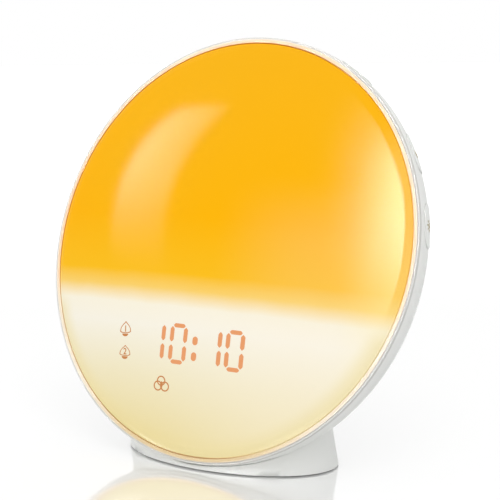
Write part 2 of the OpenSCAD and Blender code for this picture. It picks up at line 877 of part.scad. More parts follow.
module board_connectors() {
    top = board_front + connector_h;
    color("ivory") in_disc() {
        block(led_plug, led_plug_size, board_front, top);
        block(display_plug, led_plug_size, board_front, top);
        block(speaker_plug, small_plug_size, board_front, top);
        for (s = side) block([s * key_plug.x, key_plug.y], key_plug_size, board_front, top);
    }
}

// Barrel jack: its body stands on the back of the main board and its nose fills the hole in the bowl
module dc_jack() {
    nose_end = 0.3 - bowl_d(norm(jack_spot), 0);
    color("black") in_disc() {
        difference() {
            union() {
                rounded_block(jack_spot, jack_body, 1, jack_body_back, board_back);
                disc_at(jack_spot, jack_r, nose_end, jack_body_back + eps);
            }
            disc_at(jack_spot, jack_bore_r, nose_end - 1, nose_end + jack_bore_l);
        }
        disc_at(jack_spot, jack_pin_r, nose_end + 1, nose_end + jack_bore_l + eps);
    }
}

// ======== speaker ========

speaker_boss_r = 2.8;
speaker_screw_r = 0.85;
speaker_frame_back = speaker_seat + gasket_t;
speaker_frame_front = speaker_frame_back + speaker_flange_t;
basket_top = magnet_floor;

module speaker_gasket() {
    color("dimgray") in_disc() translate(speaker_spot)
        ring(speaker_r, cone_r + 1.2, speaker_seat, speaker_frame_back);
}

module speaker_frame() {
    color("gray") in_disc() difference() {
        union() {
            translate(speaker_spot) {
                ring(speaker_r, cone_r + 0.6, speaker_frame_back, speaker_frame_front);
                rotate_extrude() polygon([
                    [cone_r + 0.6, speaker_frame_front - eps], [basket_r, speaker_frame_front - eps],
                    [magnet_r + 1, basket_top], [magnet_bore_r, basket_top],
                    [magnet_bore_r, basket_top - 1], [magnet_r, basket_top - 1]
                ]);
            }
            speaker_bosses(speaker_boss_r, speaker_frame_back, speaker_frame_front);
        }
        speaker_bosses(speaker_screw_r + 0.2, speaker_frame_back - 1, speaker_frame_front + 1);
    }
}

module speaker_magnet() {
    color("darkgray") in_disc() translate(speaker_spot) {
        ring(magnet_r, magnet_bore_r, magnet_floor, magnet_plate + eps);
        disc_at([0, 0], magnet_r, magnet_plate, magnet_top);
        disc_at([0, 0], pole_r, magnet_floor - 1, magnet_plate + eps);
    }
}

module speaker_cone() {
    neck = coil_r + coil_t;
    color("black") in_disc() translate(speaker_spot) rotate_extrude()
        polygon([
            [0, cone_neck_z], [neck, cone_neck_z], [cone_r, cone_edge_z],
            [cone_r, cone_edge_z + cone_t], [neck, cone_neck_z + cone_t], [0, cone_neck_z + cone_t]
        ]);
}

module voice_coil() {
    color("peru") in_disc() translate(speaker_spot)
        ring(coil_r + coil_t, coil_r - coil_t, cone_neck_z + cone_t, coil_top);
}

module speaker_screws() {
    color("silver") in_disc() translate([speaker_spot.x, speaker_spot.y, speaker_frame_front])
        for (a = speaker_ears) rotate([0, 0, a]) translate([speaker_ear_r, 0, 0])
            screw(1.8, 1.1, speaker_screw_r, 3.6);
}

// ======== back-up cell ========

module battery_holder() {
    color("black") in_disc() difference() {
        union() {
            disc_at(cell_spot, holder_r, pocket_floor - holder_t, pocket_floor);
            translate(cell_spot) ring(holder_r, cell_r + 0.3, cell_top - cell_h + 0.7, pocket_floor);
        }
        block(cell_spot + [cell_r, 0], [5, 13], cell_top - cell_h, pocket_floor - holder_t);
        block(leg_slot, leg_slot_size, pocket_floor - 2, pocket_top + 1);
    }
}

// Two leaf contacts whose legs run through the pocket's floor to the back of the main board
module battery_contacts() {
    leaf_top = pocket_floor - holder_t;
    side_leaf_x = cell_spot.x + cell_r + 0.25;
    side_leaf_low = cell_top - cell_h + 0.5;
    color("gold") in_disc() {
        block([cell_spot.x + 4, leg_slot.y + 2.5], [9.2, 6], leaf_top - contact_t, leaf_top);
        block([cell_spot.x + 8.4, leg_slot.y], [0.4, 3], leaf_top - contact_t, board_back);
        block([side_leaf_x, leg_slot.y + 2], [contact_t, 6], side_leaf_low, leaf_top - contact_t);
        block([side_leaf_x, leg_slot.y], [contact_t, 3], side_leaf_low, board_back);
    }
}

module coin_cell() {
    color("silver") in_disc() {
        disc_at(cell_spot, cell_r, cell_top - cell_h, cell_top - cell_h / 4);
        disc_at(cell_spot, cell_r - 1.2, cell_top - cell_h / 2, cell_top);
    }
}

module battery_door() {
    color("white") in_disc() difference() {
        intersection() {
            union() {
                difference() {
                    bowl_solid(0, speaker_seat / 2);
                    bowl_solid(door_t, 1);
                }
                disc_at(door_screw_spot, door_boss_r, -shell_depth, door_rest);
                for (s = door_posts) disc_at(s, door_post_r, -shell_depth, door_post_rest);
            }
            bowl_solid(0, speaker_seat / 2);
            rounded_block(door_spot, door_size - 2 * [door_gap, door_gap], door_corner - door_gap,
                -shell_depth - 1, door_post_rest + 8);
        }
        disc_at(door_screw_spot, 2.3, -shell_depth - 1, door_screw_seat);
        disc_at(door_screw_spot, door_screw_r + 0.15, -shell_depth - 1, door_rest + 1);
    }
}

module battery_door_screw() {
    color("silver") in_disc() back_screw(door_screw_spot, door_screw_seat, 2, 1.1, door_screw_r, 6);
}

// ======== leads ========

// A round wire through the given points
module wire(points) {
    for (k = [0:len(points) - 2]) {
        run = points[k + 1] - points[k];
        translate(points[k]) rotate([0, acos(run.z / norm(run)), atan2(run.y, run.x)])
            cylinder(r = lead_r, h = norm(run));
        if (k > 0) translate(points[k]) sphere(r = lead_r + 0.05);
    }
}

module led_leads() {
    color("red") in_disc() for (plug = [led_plug, display_plug]) for (s = side)
        disc_at(plug + [s * lead_pitch, 0], lead_r, board_front + connector_h, tray_top);
}

module speaker_leads() {
    level = board_front + connector_h / 2;
    plug_y = speaker_plug.y + small_plug_size.y / 2;
    color("black") in_disc() for (x = speaker_lead_x) {
        start = speaker_spot.y - sqrt(pow(speaker_lead_ring, 2) - x * x);
        end_x = speaker_plug.x + (x - 8) / 2;
        wire([[x, start, speaker_frame_front], [x, start, level], [end_x, plug_y + lead_tail, level],
            [end_x, plug_y, level]]);
    }
}

module key_leads() {
    level = board_front + connector_h / 2;
    color("blue") in_disc() for (s = side)
        wire([[s * key_lead_start.x, key_lead_start.y, key_board_back],
            [s * key_lead_start.x, key_lead_start.y, level],
            [s * key_lead_bend.x, key_lead_bend.y, level],
            [s * (key_plug.x + key_plug_size.x / 2 + lead_r), key_plug.y, level]]);
}

lens_dome();
trim_ring();
rear_housing();
foot();
foot_mat();
foot_screws();
front_frame();
light_baffle();
led_board();
amber_leds();
display_board();
white_leds();
display_module();
digit_segments();
icon_guides();
key_right_low();
key_right_mid();
key_right_high();
key_left_low();
key_left_mid();
key_left_high();
plunger_right_low();
plunger_right_mid();
plunger_right_high();
plunger_left_low();
plunger_left_mid();
plunger_left_high();
key_board_right();
key_board_left();
tact_switches_right();
tact_switches_left();
key_board_screws();
main_board();
board_chips();
board_capacitors();
board_connectors();
board_screws();
dc_jack();
speaker_frame();
speaker_magnet();
speaker_cone();
voice_coil();
speaker_gasket();
speaker_screws();
battery_holder();
battery_contacts();
coin_cell();
battery_door();
battery_door_screw();
housing_screws();
led_leads();
speaker_leads();
key_leads();
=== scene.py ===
import math

import bmesh
import bpy
from mathutils import Matrix, Vector


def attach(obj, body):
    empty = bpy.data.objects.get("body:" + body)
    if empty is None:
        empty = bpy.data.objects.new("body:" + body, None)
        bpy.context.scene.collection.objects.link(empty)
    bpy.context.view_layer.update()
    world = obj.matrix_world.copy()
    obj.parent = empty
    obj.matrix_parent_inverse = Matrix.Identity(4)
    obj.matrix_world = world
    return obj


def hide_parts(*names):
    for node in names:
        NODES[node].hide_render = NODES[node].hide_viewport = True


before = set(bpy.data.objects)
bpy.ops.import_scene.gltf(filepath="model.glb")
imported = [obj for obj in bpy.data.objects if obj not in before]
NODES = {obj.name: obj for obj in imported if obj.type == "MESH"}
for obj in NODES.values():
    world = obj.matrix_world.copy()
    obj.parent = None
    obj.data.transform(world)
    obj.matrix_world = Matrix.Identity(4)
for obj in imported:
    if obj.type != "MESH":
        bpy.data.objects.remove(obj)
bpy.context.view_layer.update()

MM = 0.001
WHITE = (1, 1, 1, 1)
BLACK = (0, 0, 0, 1)

# ---- the leaning disc, with the sizes that the CAD has, in millimetres ----
LEAN = math.radians(17)
DISC_CENTRE = Vector((0, -5.2, 87.9246)) * MM
ACROSS = Vector((1, 0, 0))
UP_FACE = Vector((0, math.sin(LEAN), math.cos(LEAN)))
OUT_OF_LENS = Vector((0, -math.cos(LEAN), math.sin(LEAN)))
ON_DISC = (Matrix.Translation(DISC_CENTRE)
           @ Matrix((ACROSS, UP_FACE, OUT_OF_LENS)).transposed().to_4x4())
LENS_R = 85.65          # outer radius of the lens
LENS_SPHERE_R = 394.0   # the sphere that its front is a cap of
LENS_BAND = 4.0         # width and edge radius of the steeper band round it
LENS_BAND_R = 11.0
LENS_T = 2.2            # its thickness
CAP_R = LENS_R - LENS_BAND
CAP_SLOPE = math.asin(CAP_R / LENS_SPHERE_R)
BAND_SLOPE = math.asin((LENS_BAND + LENS_BAND_R * math.sin(CAP_SLOPE)) / LENS_BAND_R)
BAND_Z = LENS_BAND_R * (math.cos(CAP_SLOPE) - math.cos(BAND_SLOPE))
CAP_CENTRE = BAND_Z - LENS_SPHERE_R * math.cos(CAP_SLOPE)
BAND_CX = CAP_R - LENS_BAND_R * math.sin(CAP_SLOPE)
BAND_CZ = BAND_Z - LENS_BAND_R * math.cos(CAP_SLOPE)
HOOK_ANGLES = (44, 90, 136, 210, 270, 330)
HOOK_SIZE = (1.6, 8.0, 6.8)
HOOK_R = 80.25
HOOK_UP = -2.8
CATCH_UP = -4.8         # the hook's catch begins here and stands out by CATCH_OUT
CATCH_OUT = 0.9
CATCH_EDGE = 0.6
HOOK_EDGE = 0.3
SPEAKER_SPOT = (0.0, 28.634)
LED_TOP = -5.5          # height at which an LED's phosphor begins
CAN_TOP = -12.1         # height at which a capacitor's bare top begins

# ---- the time and the icons on the lens, and the keys in the wall ----
FILM = 0.06             # thickness of a mark of light
FILM_START = -0.015     # where it starts, a little inside the lens
FILM_STEP = 0.008       # how much higher each ring starts than the one before
DIGIT_CENTRES = (-19.8, -8.6, 8.35, 18.9)
DIGIT_UP = -42.25
DIGIT_WIDE = 6.8
DIGIT_TALL = 14.6
BAR_WIDE = 2.0
UPRIGHT_LONG = 6.4
UPRIGHT_UP = 3.68
LEVEL_LONG = 6.1
LEVEL_SHARE = 0.85      # width of a level bar against an upright one
CORNER_R = 0.3
COLON = (-0.2, -43.4)
DOT_R = 1.3
DOT_UP = 3.15
DOT_DRAWN = 0.45
BELL_HALF_WIDE = 3.1    # radius of the round that a bell is made from
BELL_SKIRT = 0.25       # share of its height that is kept below its middle
BELL_CORNER = 1.1       # how far the skirt's corners are drawn out
BELL_CROWN = 1.345      # how far it is drawn up above its middle
BELL_TAPER = ((0.5, 0.97), (1.5, 0.9), (2.5, 0.78), (3.3, 0.6))   # heights, and the width kept above
BELL_DROP = 1.3         # from the round's middle to the middle that its line is drawn in to
BELL_TIP = 2.87         # from there to the tip
BELL_LINE = (0.86, 0.83)   # the line's inner edge against its outer one, across and up
CLAPPER_R = 1.7
CLAPPER_TALL = 0.68
CLAPPER_DROP = 2.25
CLAPPER_START = -0.005
NUMBER_SIZE = 3.7
NUMBER_BOLD = 0.06
NUMBER_UP = 2.15
NUMBER_DROP = 2.5
NUMBER_START = 0.02
RING_CENTRES = ((-15.5, -57.9), (-17.0, -60.0), (-13.4, -60.0))
RING_R = 2.2
RING_TALL = 0.93
RING_LINE = (0.75, 0.75)
CORE = (-15.25, -59.6)
CORE_R = 1.5
CORE_WIDE = 0.42
CORE_START = 0.012
KEY_ANGLES = {"low": 10.0, "mid": 29.5}
KEY_DEPTH = 8.3         # the keys' middle behind the rim plane
KEY_FACE_R = 20.4       # the round edge of the housing, and the middle it is struck from
EDGE_DEPTH = 3.4
EDGE_CENTRE = 68.734
PRINT_LIFT = 0.02
PRINT_T = 0.05
SUN_R = 1.1
RAY_HALF_WIDE = 0.36
RAY_UP = 1.8            # where a ray begins to be drawn out, and how far
RAY_DRAWN = 0.4
MOON_R = 2.3
MOON_SPLIT = 0.5        # what lies right of this is turned over, which makes the crescent
MOON_TURNED = -0.45

# ---- the camera and the stage ----
AZIMUTH = 34.147        # degrees round from straight in front, towards +X
ELEVATION = 7.55
ROLL = -0.325
DISTANCE = 0.600        # metres
FOCAL_LENGTH = 103.089
AIM_RIGHT = 8.082
AIM_UP = 84.965
SKY_LIGHT = 0.80        # strength of the world on matt surfaces, white is 1
FLOOR_SHADE = 0.93
FLOOR_MIRROR = 0.58     # share of the floor that mirrors
FLOOR_ROUGHNESS = 0.07
FLOOR_LIFT = 0.06       # what the floor adds near the clock, and further out
BACKDROP_LIFT = 0.3
BACKDROP_NEAR = 0.35    # metres from the clock where the floor begins to turn into backdrop
BACKDROP_FAR = 1.1      # and where it has


def linear(red, green, blue):
    """A colour given as 0 to 255 screen values, as Blender's linear values."""
    out = []
    for c in (red, green, blue):
        c /= 255
        out.append(c / 12.92 if c <= 0.04045 else ((c + 0.055) / 1.055) ** 2.4)
    return (*out, 1.0)


# ======== modelling helpers ========

def deselect():
    if bpy.context.object and bpy.context.object.mode != "OBJECT":
        bpy.ops.object.mode_set(mode="OBJECT")
    bpy.ops.object.select_all(action="DESELECT")


def begin(name, kind, **values):
    """Adds a primitive at its size and place and goes into edit mode with nothing else selected."""
    deselect()
    getattr(bpy.ops.mesh, "primitive_%s_add" % kind)(**values)
    piece = bpy.context.object
    piece.name = name
    piece.data.name = name
    bpy.ops.object.mode_set(mode="EDIT")
    bpy.ops.mesh.select_mode(type="VERT")
    bpy.ops.mesh.select_all(action="SELECT")
    return piece


def begin_round(name, steps, radius, fill="NGON"):
    return begin(name, "circle", vertices=steps, radius=radius * MM, fill_type=fill)


def pick(piece, kind, test):
    """Selects in edit mode just the verts, edges or faces whose middle passes the test."""
    bpy.ops.mesh.select_all(action="DESELECT")
    bpy.ops.mesh.select_mode(type={"verts": "VERT", "edges": "EDGE", "faces": "FACE"}[kind])
    mesh = bmesh.from_edit_mesh(piece.data)
    for item in getattr(mesh, kind):
        if kind == "verts":
            middle = item.co
        elif kind == "edges":
            middle = (item.verts[0].co + item.verts[1].co) / 2
        else:
            middle = item.calc_center_median()
        if test(middle / MM):
            item.select_set(True)
    mesh.select_flush_mode()
    bmesh.update_edit_mesh(piece.data)


def move(across=0.0, up=0.0, out=0.0):
    bpy.ops.transform.translate(value=(across * MM, up * MM, out * MM))


def extrude(across=0.0, up=0.0, out=0.0):
    shift = (across * MM, up * MM, out * MM)
    bpy.ops.mesh.extrude_region_move(TRANSFORM_OT_translate={"value": shift})


def resize_picked(across=1.0, up=1.0, middle=0.0):
    """Scales what is selected from the point that lies middle mm across."""
    bpy.ops.transform.resize(value=(across, up, 1), center_override=(middle * MM, 0, 0))


def raise_film():
    """Gives a flat mark in edit mode its thickness."""
    bpy.ops.mesh.select_all(action="SELECT")
    extrude(out=FILM)


def done(piece, smooth=None):
    bpy.ops.mesh.select_all(action="SELECT")
    bpy.ops.mesh.normals_make_consistent(inside=False)
    bpy.ops.object.mode_set(mode="OBJECT")
    if smooth is not None:
        bpy.ops.object.shade_smooth_by_angle(angle=math.radians(smooth))


def apply_place(piece, place):
    """Sets a finished piece in its place and applies it, so its object stays at the origin."""
    deselect()
    piece.matrix_world = place @ piece.matrix_world
    piece.select_set(True)
    bpy.context.view_layer.objects.active = piece
    bpy.ops.object.transform_apply(location=True, rotation=True, scale=True)


def copy_of(piece, name, place):
    twin = piece.copy()
    twin.data = piece.data.copy()
    twin.name = name
    bpy.context.collection.objects.link(twin)
    apply_place(twin, place)
    return twin


def join_pieces(name, pieces):
    deselect()
    for piece in pieces:
        piece.select_set(True)
    bpy.context.view_layer.objects.active = pieces[0]
    bpy.ops.object.join()
    whole = bpy.context.object
    whole.name = name
    whole.data.name = name
    return whole


def on_lens(across, up, lift=0.0, turn=0.0):
    """The place of a flat mark that lies on the lens's front, in the disc's frame."""
    out = CAP_CENTRE + math.sqrt(LENS_SPHERE_R ** 2 - across ** 2 - up ** 2)
    normal = Vector((across, up, out - CAP_CENTRE)).normalized()
    tilt = Vector((0, 0, 1)).rotation_difference(normal).to_matrix().to_4x4()
    spot = Vector((across, up, out)) + normal * lift
    return ON_DISC @ Matrix.Translation(spot * MM) @ tilt @ Matrix.Rotation(math.radians(turn), 4, "Z")


# ======== shader helpers ========

def node_tree(material):
    material.use_nodes = True
    tree = material.node_tree
    tree.nodes.clear()
    return tree


def add(tree, kind, **values):
    node = tree.nodes.new(kind)
    for name, value in values.items():
        setattr(node, name, value)
    return node


def link(tree, source, target):
    tree.links.new(source, target)


def math_node(tree, operation, first, second=None, third=None):
    node = add(tree, "ShaderNodeMath", operation=operation)
    for k, value in enumerate((first, second, third)):
        if value is None:
            continue
        if isinstance(value, (int, float)):
            node.inputs[k].default_value = value
        else:
            link(tree, value, node.inputs[k])
    return node.outputs[0]


def smooth_step(tree, value, low, high):
    node = add(tree, "ShaderNodeMapRange", interpolation_type="SMOOTHSTEP")
    link(tree, value, node.inputs["Value"])
    node.inputs["From Min"].default_value = low
    node.inputs["From Max"].default_value = high
    return node.outputs["Result"]


def times(tree, *values):
    """The product of several values."""
    product = values[0]
    for value in values[1:]:
        product = math_node(tree, "MULTIPLY", product, value)
    return product


def mix_colour(tree, share, first, second):
    node = add(tree, "ShaderNodeMix", data_type="RGBA")
    for socket, value in ((node.inputs["Factor"], share), (node.inputs[6], first),
                          (node.inputs[7], second)):
        if isinstance(value, (int, float, tuple)):
            socket.default_value = value
        else:
            link(tree, value, socket)
    return node.outputs[2]


def noise(tree, vector, scale, detail=2.0):
    node = add(tree, "ShaderNodeTexNoise")
    node.inputs["Scale"].default_value = scale
    node.inputs["Detail"].default_value = detail
    link(tree, vector, node.inputs["Vector"])
    return node.outputs["Fac"]


def object_place(tree):
    return add(tree, "ShaderNodeTexCoord").outputs["Object"]


def finish_tree(tree, shader):
    link(tree, shader.outputs[0], add(tree, "ShaderNodeOutputMaterial").inputs["Surface"])


# ======== camera, floor and lights ========

def make_camera():
    azimuth, elevation, roll = (math.radians(angle) for angle in (AZIMUTH, ELEVATION, ROLL))
    back = Vector((math.sin(azimuth) * math.cos(elevation), -math.cos(azimuth) * math.cos(elevation),
                   math.sin(elevation)))
    right = Vector((math.cos(azimuth), math.sin(azimuth), 0))
    up = back.cross(right)
    target = (right * AIM_RIGHT + up * AIM_UP) * MM
    rolled_right = right * math.cos(roll) + up * math.sin(roll)
    rolled_up = up * math.cos(roll) - right * math.sin(roll)
    data = bpy.data.cameras.new("camera")
    data.lens = FOCAL_LENGTH
    data.sensor_width = 36
    data.clip_start = 0.05
    data.clip_end = 50
    camera = bpy.data.objects.new("camera", data)
    bpy.context.collection.objects.link(camera)
    turn = Matrix((rolled_right, rolled_up, back)).transposed().to_4x4()
    camera.matrix_world = Matrix.Translation(target + back * DISTANCE) @ turn
    bpy.context.scene.camera = camera


def before_diffuse(tree, path):
    """1 for light that reaches the eye by reflections alone, 0 for what a matt surface has spread."""
    return math_node(tree, "LESS_THAN", path.outputs["Diffuse Depth"], 0.5)


def make_world():
    """White behind and in reflections, and an even soft light on the clock."""
    world = bpy.data.worlds.new("studio")
    world.use_nodes = True
    bpy.context.scene.world = world
    tree = world.node_tree
    tree.nodes.clear()
    path = add(tree, "ShaderNodeLightPath")
    seen = math_node(tree, "MAXIMUM", path.outputs["Is Camera Ray"], path.outputs["Is Glossy Ray"])
    seen = math_node(tree, "MAXIMUM", seen, path.outputs["Is Transmission Ray"])
    seen = times(tree, seen, before_diffuse(tree, path))
    strength = add(tree, "ShaderNodeMapRange")
    link(tree, seen, strength.inputs["Value"])
    strength.inputs["To Min"].default_value = SKY_LIGHT
    strength.inputs["To Max"].default_value = 1.0
    light = add(tree, "ShaderNodeBackground")
    light.inputs["Color"].default_value = WHITE
    link(tree, strength.outputs["Result"], light.inputs["Strength"])
    link(tree, light.outputs[0], add(tree, "ShaderNodeOutputWorld").inputs["Surface"])


def make_floor():
    """Glossy white table that turns into the white backdrop further out."""
    deselect()
    bpy.ops.mesh.primitive_plane_add(size=60, location=(0, 20, 0))
    floor = bpy.context.object
    floor.name = "floor"
    bpy.ops.object.transform_apply(location=True)
    material = bpy.data.materials.new("glossy_white_floor")
    tree = node_tree(material)
    white = add(tree, "ShaderNodeBsdfDiffuse")
    white.inputs["Color"].default_value = (FLOOR_SHADE, FLOOR_SHADE, FLOOR_SHADE, 1)
    mirror = add(tree, "ShaderNodeBsdfGlossy")
    mirror.inputs["Color"].default_value = WHITE
    mirror.inputs["Roughness"].default_value = FLOOR_ROUGHNESS
    both = add(tree, "ShaderNodeMixShader")
    both.inputs[0].default_value = FLOOR_MIRROR
    link(tree, white.outputs[0], both.inputs[1])
    link(tree, mirror.outputs[0], both.inputs[2])
    lift = add(tree, "ShaderNodeEmission")
    path = add(tree, "ShaderNodeLightPath")
    from_clock = add(tree, "ShaderNodeVectorMath", operation="LENGTH")
    link(tree, object_place(tree), from_clock.inputs[0])
    backdrop = smooth_step(tree, from_clock.outputs["Value"], BACKDROP_NEAR, BACKDROP_FAR)
    level = math_node(tree, "MULTIPLY_ADD", backdrop, BACKDROP_LIFT, FLOOR_LIFT)
    link(tree, times(tree, path.outputs["Is Camera Ray"], level), lift.inputs["Strength"])
    whole = add(tree, "ShaderNodeAddShader")
    link(tree, both.outputs[0], whole.inputs[0])
    link(tree, lift.outputs[0], whole.inputs[1])
    finish_tree(tree, whole)
    floor.data.materials.append(material)


def make_lamp(name, place, aim, width, height, watts):
    data = bpy.data.lights.new(name, "AREA")
    data.shape = "RECTANGLE"
    data.size = width
    data.size_y = height
    data.energy = watts
    lamp = bpy.data.objects.new(name, data)
    bpy.context.collection.objects.link(lamp)
    lamp.location = place
    lamp.rotation_euler = (Vector(aim) - Vector(place)).to_track_quat("-Z", "Y").to_euler()
    lamp.visible_camera = False
    lamp.visible_glossy = False


def make_soft_panel(name, centre, facing, half_width, half_height, glow):
    """A light panel that only reflections see. glow gives its strength by mm across and up it."""
    deselect()
    bpy.ops.mesh.primitive_plane_add(size=2, location=(0, 0, 0))
    panel = bpy.context.object
    panel.name = name
    facing = Vector(facing).normalized()
    right = Vector((0, 0, 1)).cross(facing).normalized()
    panel.matrix_world = (Matrix.Translation(Vector(centre) * MM)
                          @ Matrix((right, facing.cross(right), facing)).transposed().to_4x4()
                          @ Matrix.Diagonal((half_width * MM, half_height * MM, 1, 1)))
    material = bpy.data.materials.new(name)
    tree = node_tree(material)
    split = add(tree, "ShaderNodeSeparateXYZ")
    link(tree, object_place(tree), split.inputs[0])
    across = times(tree, split.outputs["X"], half_width)
    up = times(tree, split.outputs["Y"], half_height)
    path = add(tree, "ShaderNodeLightPath")
    light = add(tree, "ShaderNodeEmission")
    strength = times(tree, glow(tree, across, up), before_diffuse(tree, path))
    link(tree, strength, light.inputs["Strength"])
    clear = add(tree, "ShaderNodeBsdfTransparent")
    both = add(tree, "ShaderNodeAddShader")
    link(tree, light.outputs[0], both.inputs[0])
    link(tree, clear.outputs[0], both.inputs[1])
    finish_tree(tree, both)
    panel.data.materials.append(material)
    panel.visible_camera = False
    panel.visible_diffuse = False
    panel.visible_shadow = False


def bowed(tree, across, up, middle, bow):
    """The across value of a side that bows out round the height middle."""
    off = math_node(tree, "SUBTRACT", up, middle)
    return math_node(tree, "MULTIPLY_ADD", times(tree, off, off), bow, across)


def window_glow(tree, across, up):
    """A tall strip whose sides bow out and whose foot fades."""
    inside_left = smooth_step(tree, bowed(tree, across, up, 15.0, 0.0017), 108.0, 103.0)
    inside_right = smooth_step(tree, bowed(tree, across, up, 130.0, 0.0013), -78.0, -68.0)
    slanted_top = math_node(tree, "MULTIPLY_ADD", across, 0.557, up)
    inside_top = smooth_step(tree, slanted_top, 232.0, 226.0)
    foot = smooth_step(tree, up, -250.0, 80.0)
    fade = math_node(tree, "MULTIPLY_ADD", across, 0.0026, 0.76)
    return times(tree, inside_left, inside_right, inside_top, foot, fade, 50.0)


def side_glow(tree, across, up):
    """Brightest at the right, fading to the left and at top and bottom."""
    slant = math_node(tree, "MULTIPLY_ADD", up, -0.285, across)
    fade = smooth_step(tree, slant, 170.0, -170.0)
    fade = math_node(tree, "POWER", fade, 1.7)
    low = smooth_step(tree, up, -330.0, 80.0)
    high = smooth_step(tree, up, 430.0, 120.0)
    return times(tree, fade, times(tree, low, high), 158.0)


def make_lights():
    make_world()
    make_lamp("key_lamp", (0.9, -1.1, 1.6), aim=(0, 0, 0.08), width=1.2, height=1.2, watts=10)
    make_lamp("low_fill", (-0.05, -0.9, 0.12), aim=(0, 0, 0.02), width=0.4, height=0.15, watts=0.8)
    make_soft_panel("window_panel", (-759.7, -512.8, 499.1), facing=(0.7666, 0.5021, -0.4002),
                    half_width=330, half_height=420, glow=window_glow)
    make_soft_panel("side_panel", (-128.2, -846.9, 572.0), facing=(0.2638, 0.8373, -0.4789),
                    half_width=420, half_height=430, glow=side_glow)


# ======== shader groups ========

def new_group(name, inputs, outputs):
    group = bpy.data.node_groups.new(name, "ShaderNodeTree")
    for label, kind, value in inputs:
        socket = group.interface.new_socket(label, in_out="INPUT", socket_type=kind)
        socket.default_value = value
    for label, kind in outputs:
        group.interface.new_socket(label, in_out="OUTPUT", socket_type=kind)
    return group, group.nodes.new("NodeGroupInput"), group.nodes.new("NodeGroupOutput")


SURFACE_OUTPUTS = [("Color", "NodeSocketColor"), ("Roughness", "NodeSocketFloat"),
                   ("Height", "NodeSocketFloat")]


def make_disc_place():
    """Where a point lies on the leaning disc, in mm: across, up, out of it, and from a centre."""
    group, given, out = new_group(
        "disc_place",
        [("Centre Across", "NodeSocketFloat", 0.0), ("Centre Up", "NodeSocketFloat", 0.0)],
        [(label, "NodeSocketFloat") for label in ("Across", "Up", "Out", "Radius")])
    shift = add(group, "ShaderNodeVectorMath", operation="SUBTRACT")
    link(group, object_place(group), shift.inputs[0])
    shift.inputs[1].default_value = DISC_CENTRE
    values = []
    for axis in (ACROSS, UP_FACE, OUT_OF_LENS):
        dot = add(group, "ShaderNodeVectorMath", operation="DOT_PRODUCT")
        link(group, shift.outputs[0], dot.inputs[0])
        dot.inputs[1].default_value = axis / MM
        values.append(dot.outputs["Value"])
    across = math_node(group, "SUBTRACT", values[0], given.outputs["Centre Across"])
    up = math_node(group, "SUBTRACT", values[1], given.outputs["Centre Up"])
    square = math_node(group, "MULTIPLY_ADD", up, up, times(group, across, across))
    radius = math_node(group, "SQRT", square)
    for label, value in (("Across", across), ("Up", up), ("Out", values[2]), ("Radius", radius)):
        link(group, value, out.inputs[label])
    return group


def make_moulded_grain():
    """Moulded plastic: a little colour drift, roughness drift and a pebbled height."""
    group, given, out = new_group(
        "moulded_grain",
        [("Color", "NodeSocketColor", (0.8, 0.8, 0.8, 1)), ("Drift", "NodeSocketFloat", 0.03),
         ("Grain Size", "NodeSocketFloat", 2500.0), ("Roughness", "NodeSocketFloat", 0.5)],
        SURFACE_OUTPUTS)
    place = object_place(group)
    wide = noise(group, place, 35, 3)
    fine = add(group, "ShaderNodeTexNoise")
    fine.inputs["Detail"].default_value = 2
    link(group, place, fine.inputs["Vector"])
    link(group, given.outputs["Grain Size"], fine.inputs["Scale"])
    amount = times(group, wide, given.outputs["Drift"])
    link(group, mix_colour(group, amount, given.outputs["Color"], BLACK), out.inputs["Color"])
    rough = math_node(group, "MULTIPLY_ADD", wide, 0.08, given.outputs["Roughness"])
    link(group, math_node(group, "ADD", rough, -0.04), out.inputs["Roughness"])
    link(group, fine.outputs["Fac"], out.inputs["Height"])
    return group


def make_turned_metal():
    """Metal turned round a centre: fine rings that change the roughness and the shade."""
    group, given, out = new_group(
        "turned_metal",
        [("Color", "NodeSocketColor", (0.6, 0.6, 0.6, 1)), ("Ring Pitch", "NodeSocketFloat", 0.2),
         ("Radius", "NodeSocketFloat", 0.0), ("Roughness", "NodeSocketFloat", 0.3)],
        SURFACE_OUTPUTS)
    rings = math_node(group, "DIVIDE", given.outputs["Radius"], given.outputs["Ring Pitch"])
    spread = noise(group, object_place(group), 700, 3)
    rings = math_node(group, "MULTIPLY_ADD", spread, 3.0, rings)
    wave = math_node(group, "SINE", times(group, rings, 2 * math.pi))
    wave = math_node(group, "MULTIPLY_ADD", wave, 0.5, 0.5)
    dark = mix_colour(group, 0.25, given.outputs["Color"], BLACK)
    link(group, mix_colour(group, wave, given.outputs["Color"], dark), out.inputs["Color"])
    rough = math_node(group, "MULTIPLY_ADD", spread, 0.16, given.outputs["Roughness"])
    link(group, math_node(group, "ADD", rough, -0.08), out.inputs["Roughness"])
    link(group, wave, out.inputs["Height"])
    return group


DISC_PLACE = make_disc_place()
MOULDED_GRAIN = make_moulded_grain()
TURNED_METAL = make_turned_metal()


def placed_group(tree, group, **values):
    node = add(tree, "ShaderNodeGroup")
    node.node_tree = group
    for label, value in values.items():
        node.inputs[label.replace("_", " ")].default_value = value
    return node


def bump(tree, height, distance, shader):
    node = add(tree, "ShaderNodeBump")
    node.inputs["Distance"].default_value = distance * MM
    link(tree, height, node.inputs["Height"])
    link(tree, node.outputs[0], shader.inputs["Normal"])


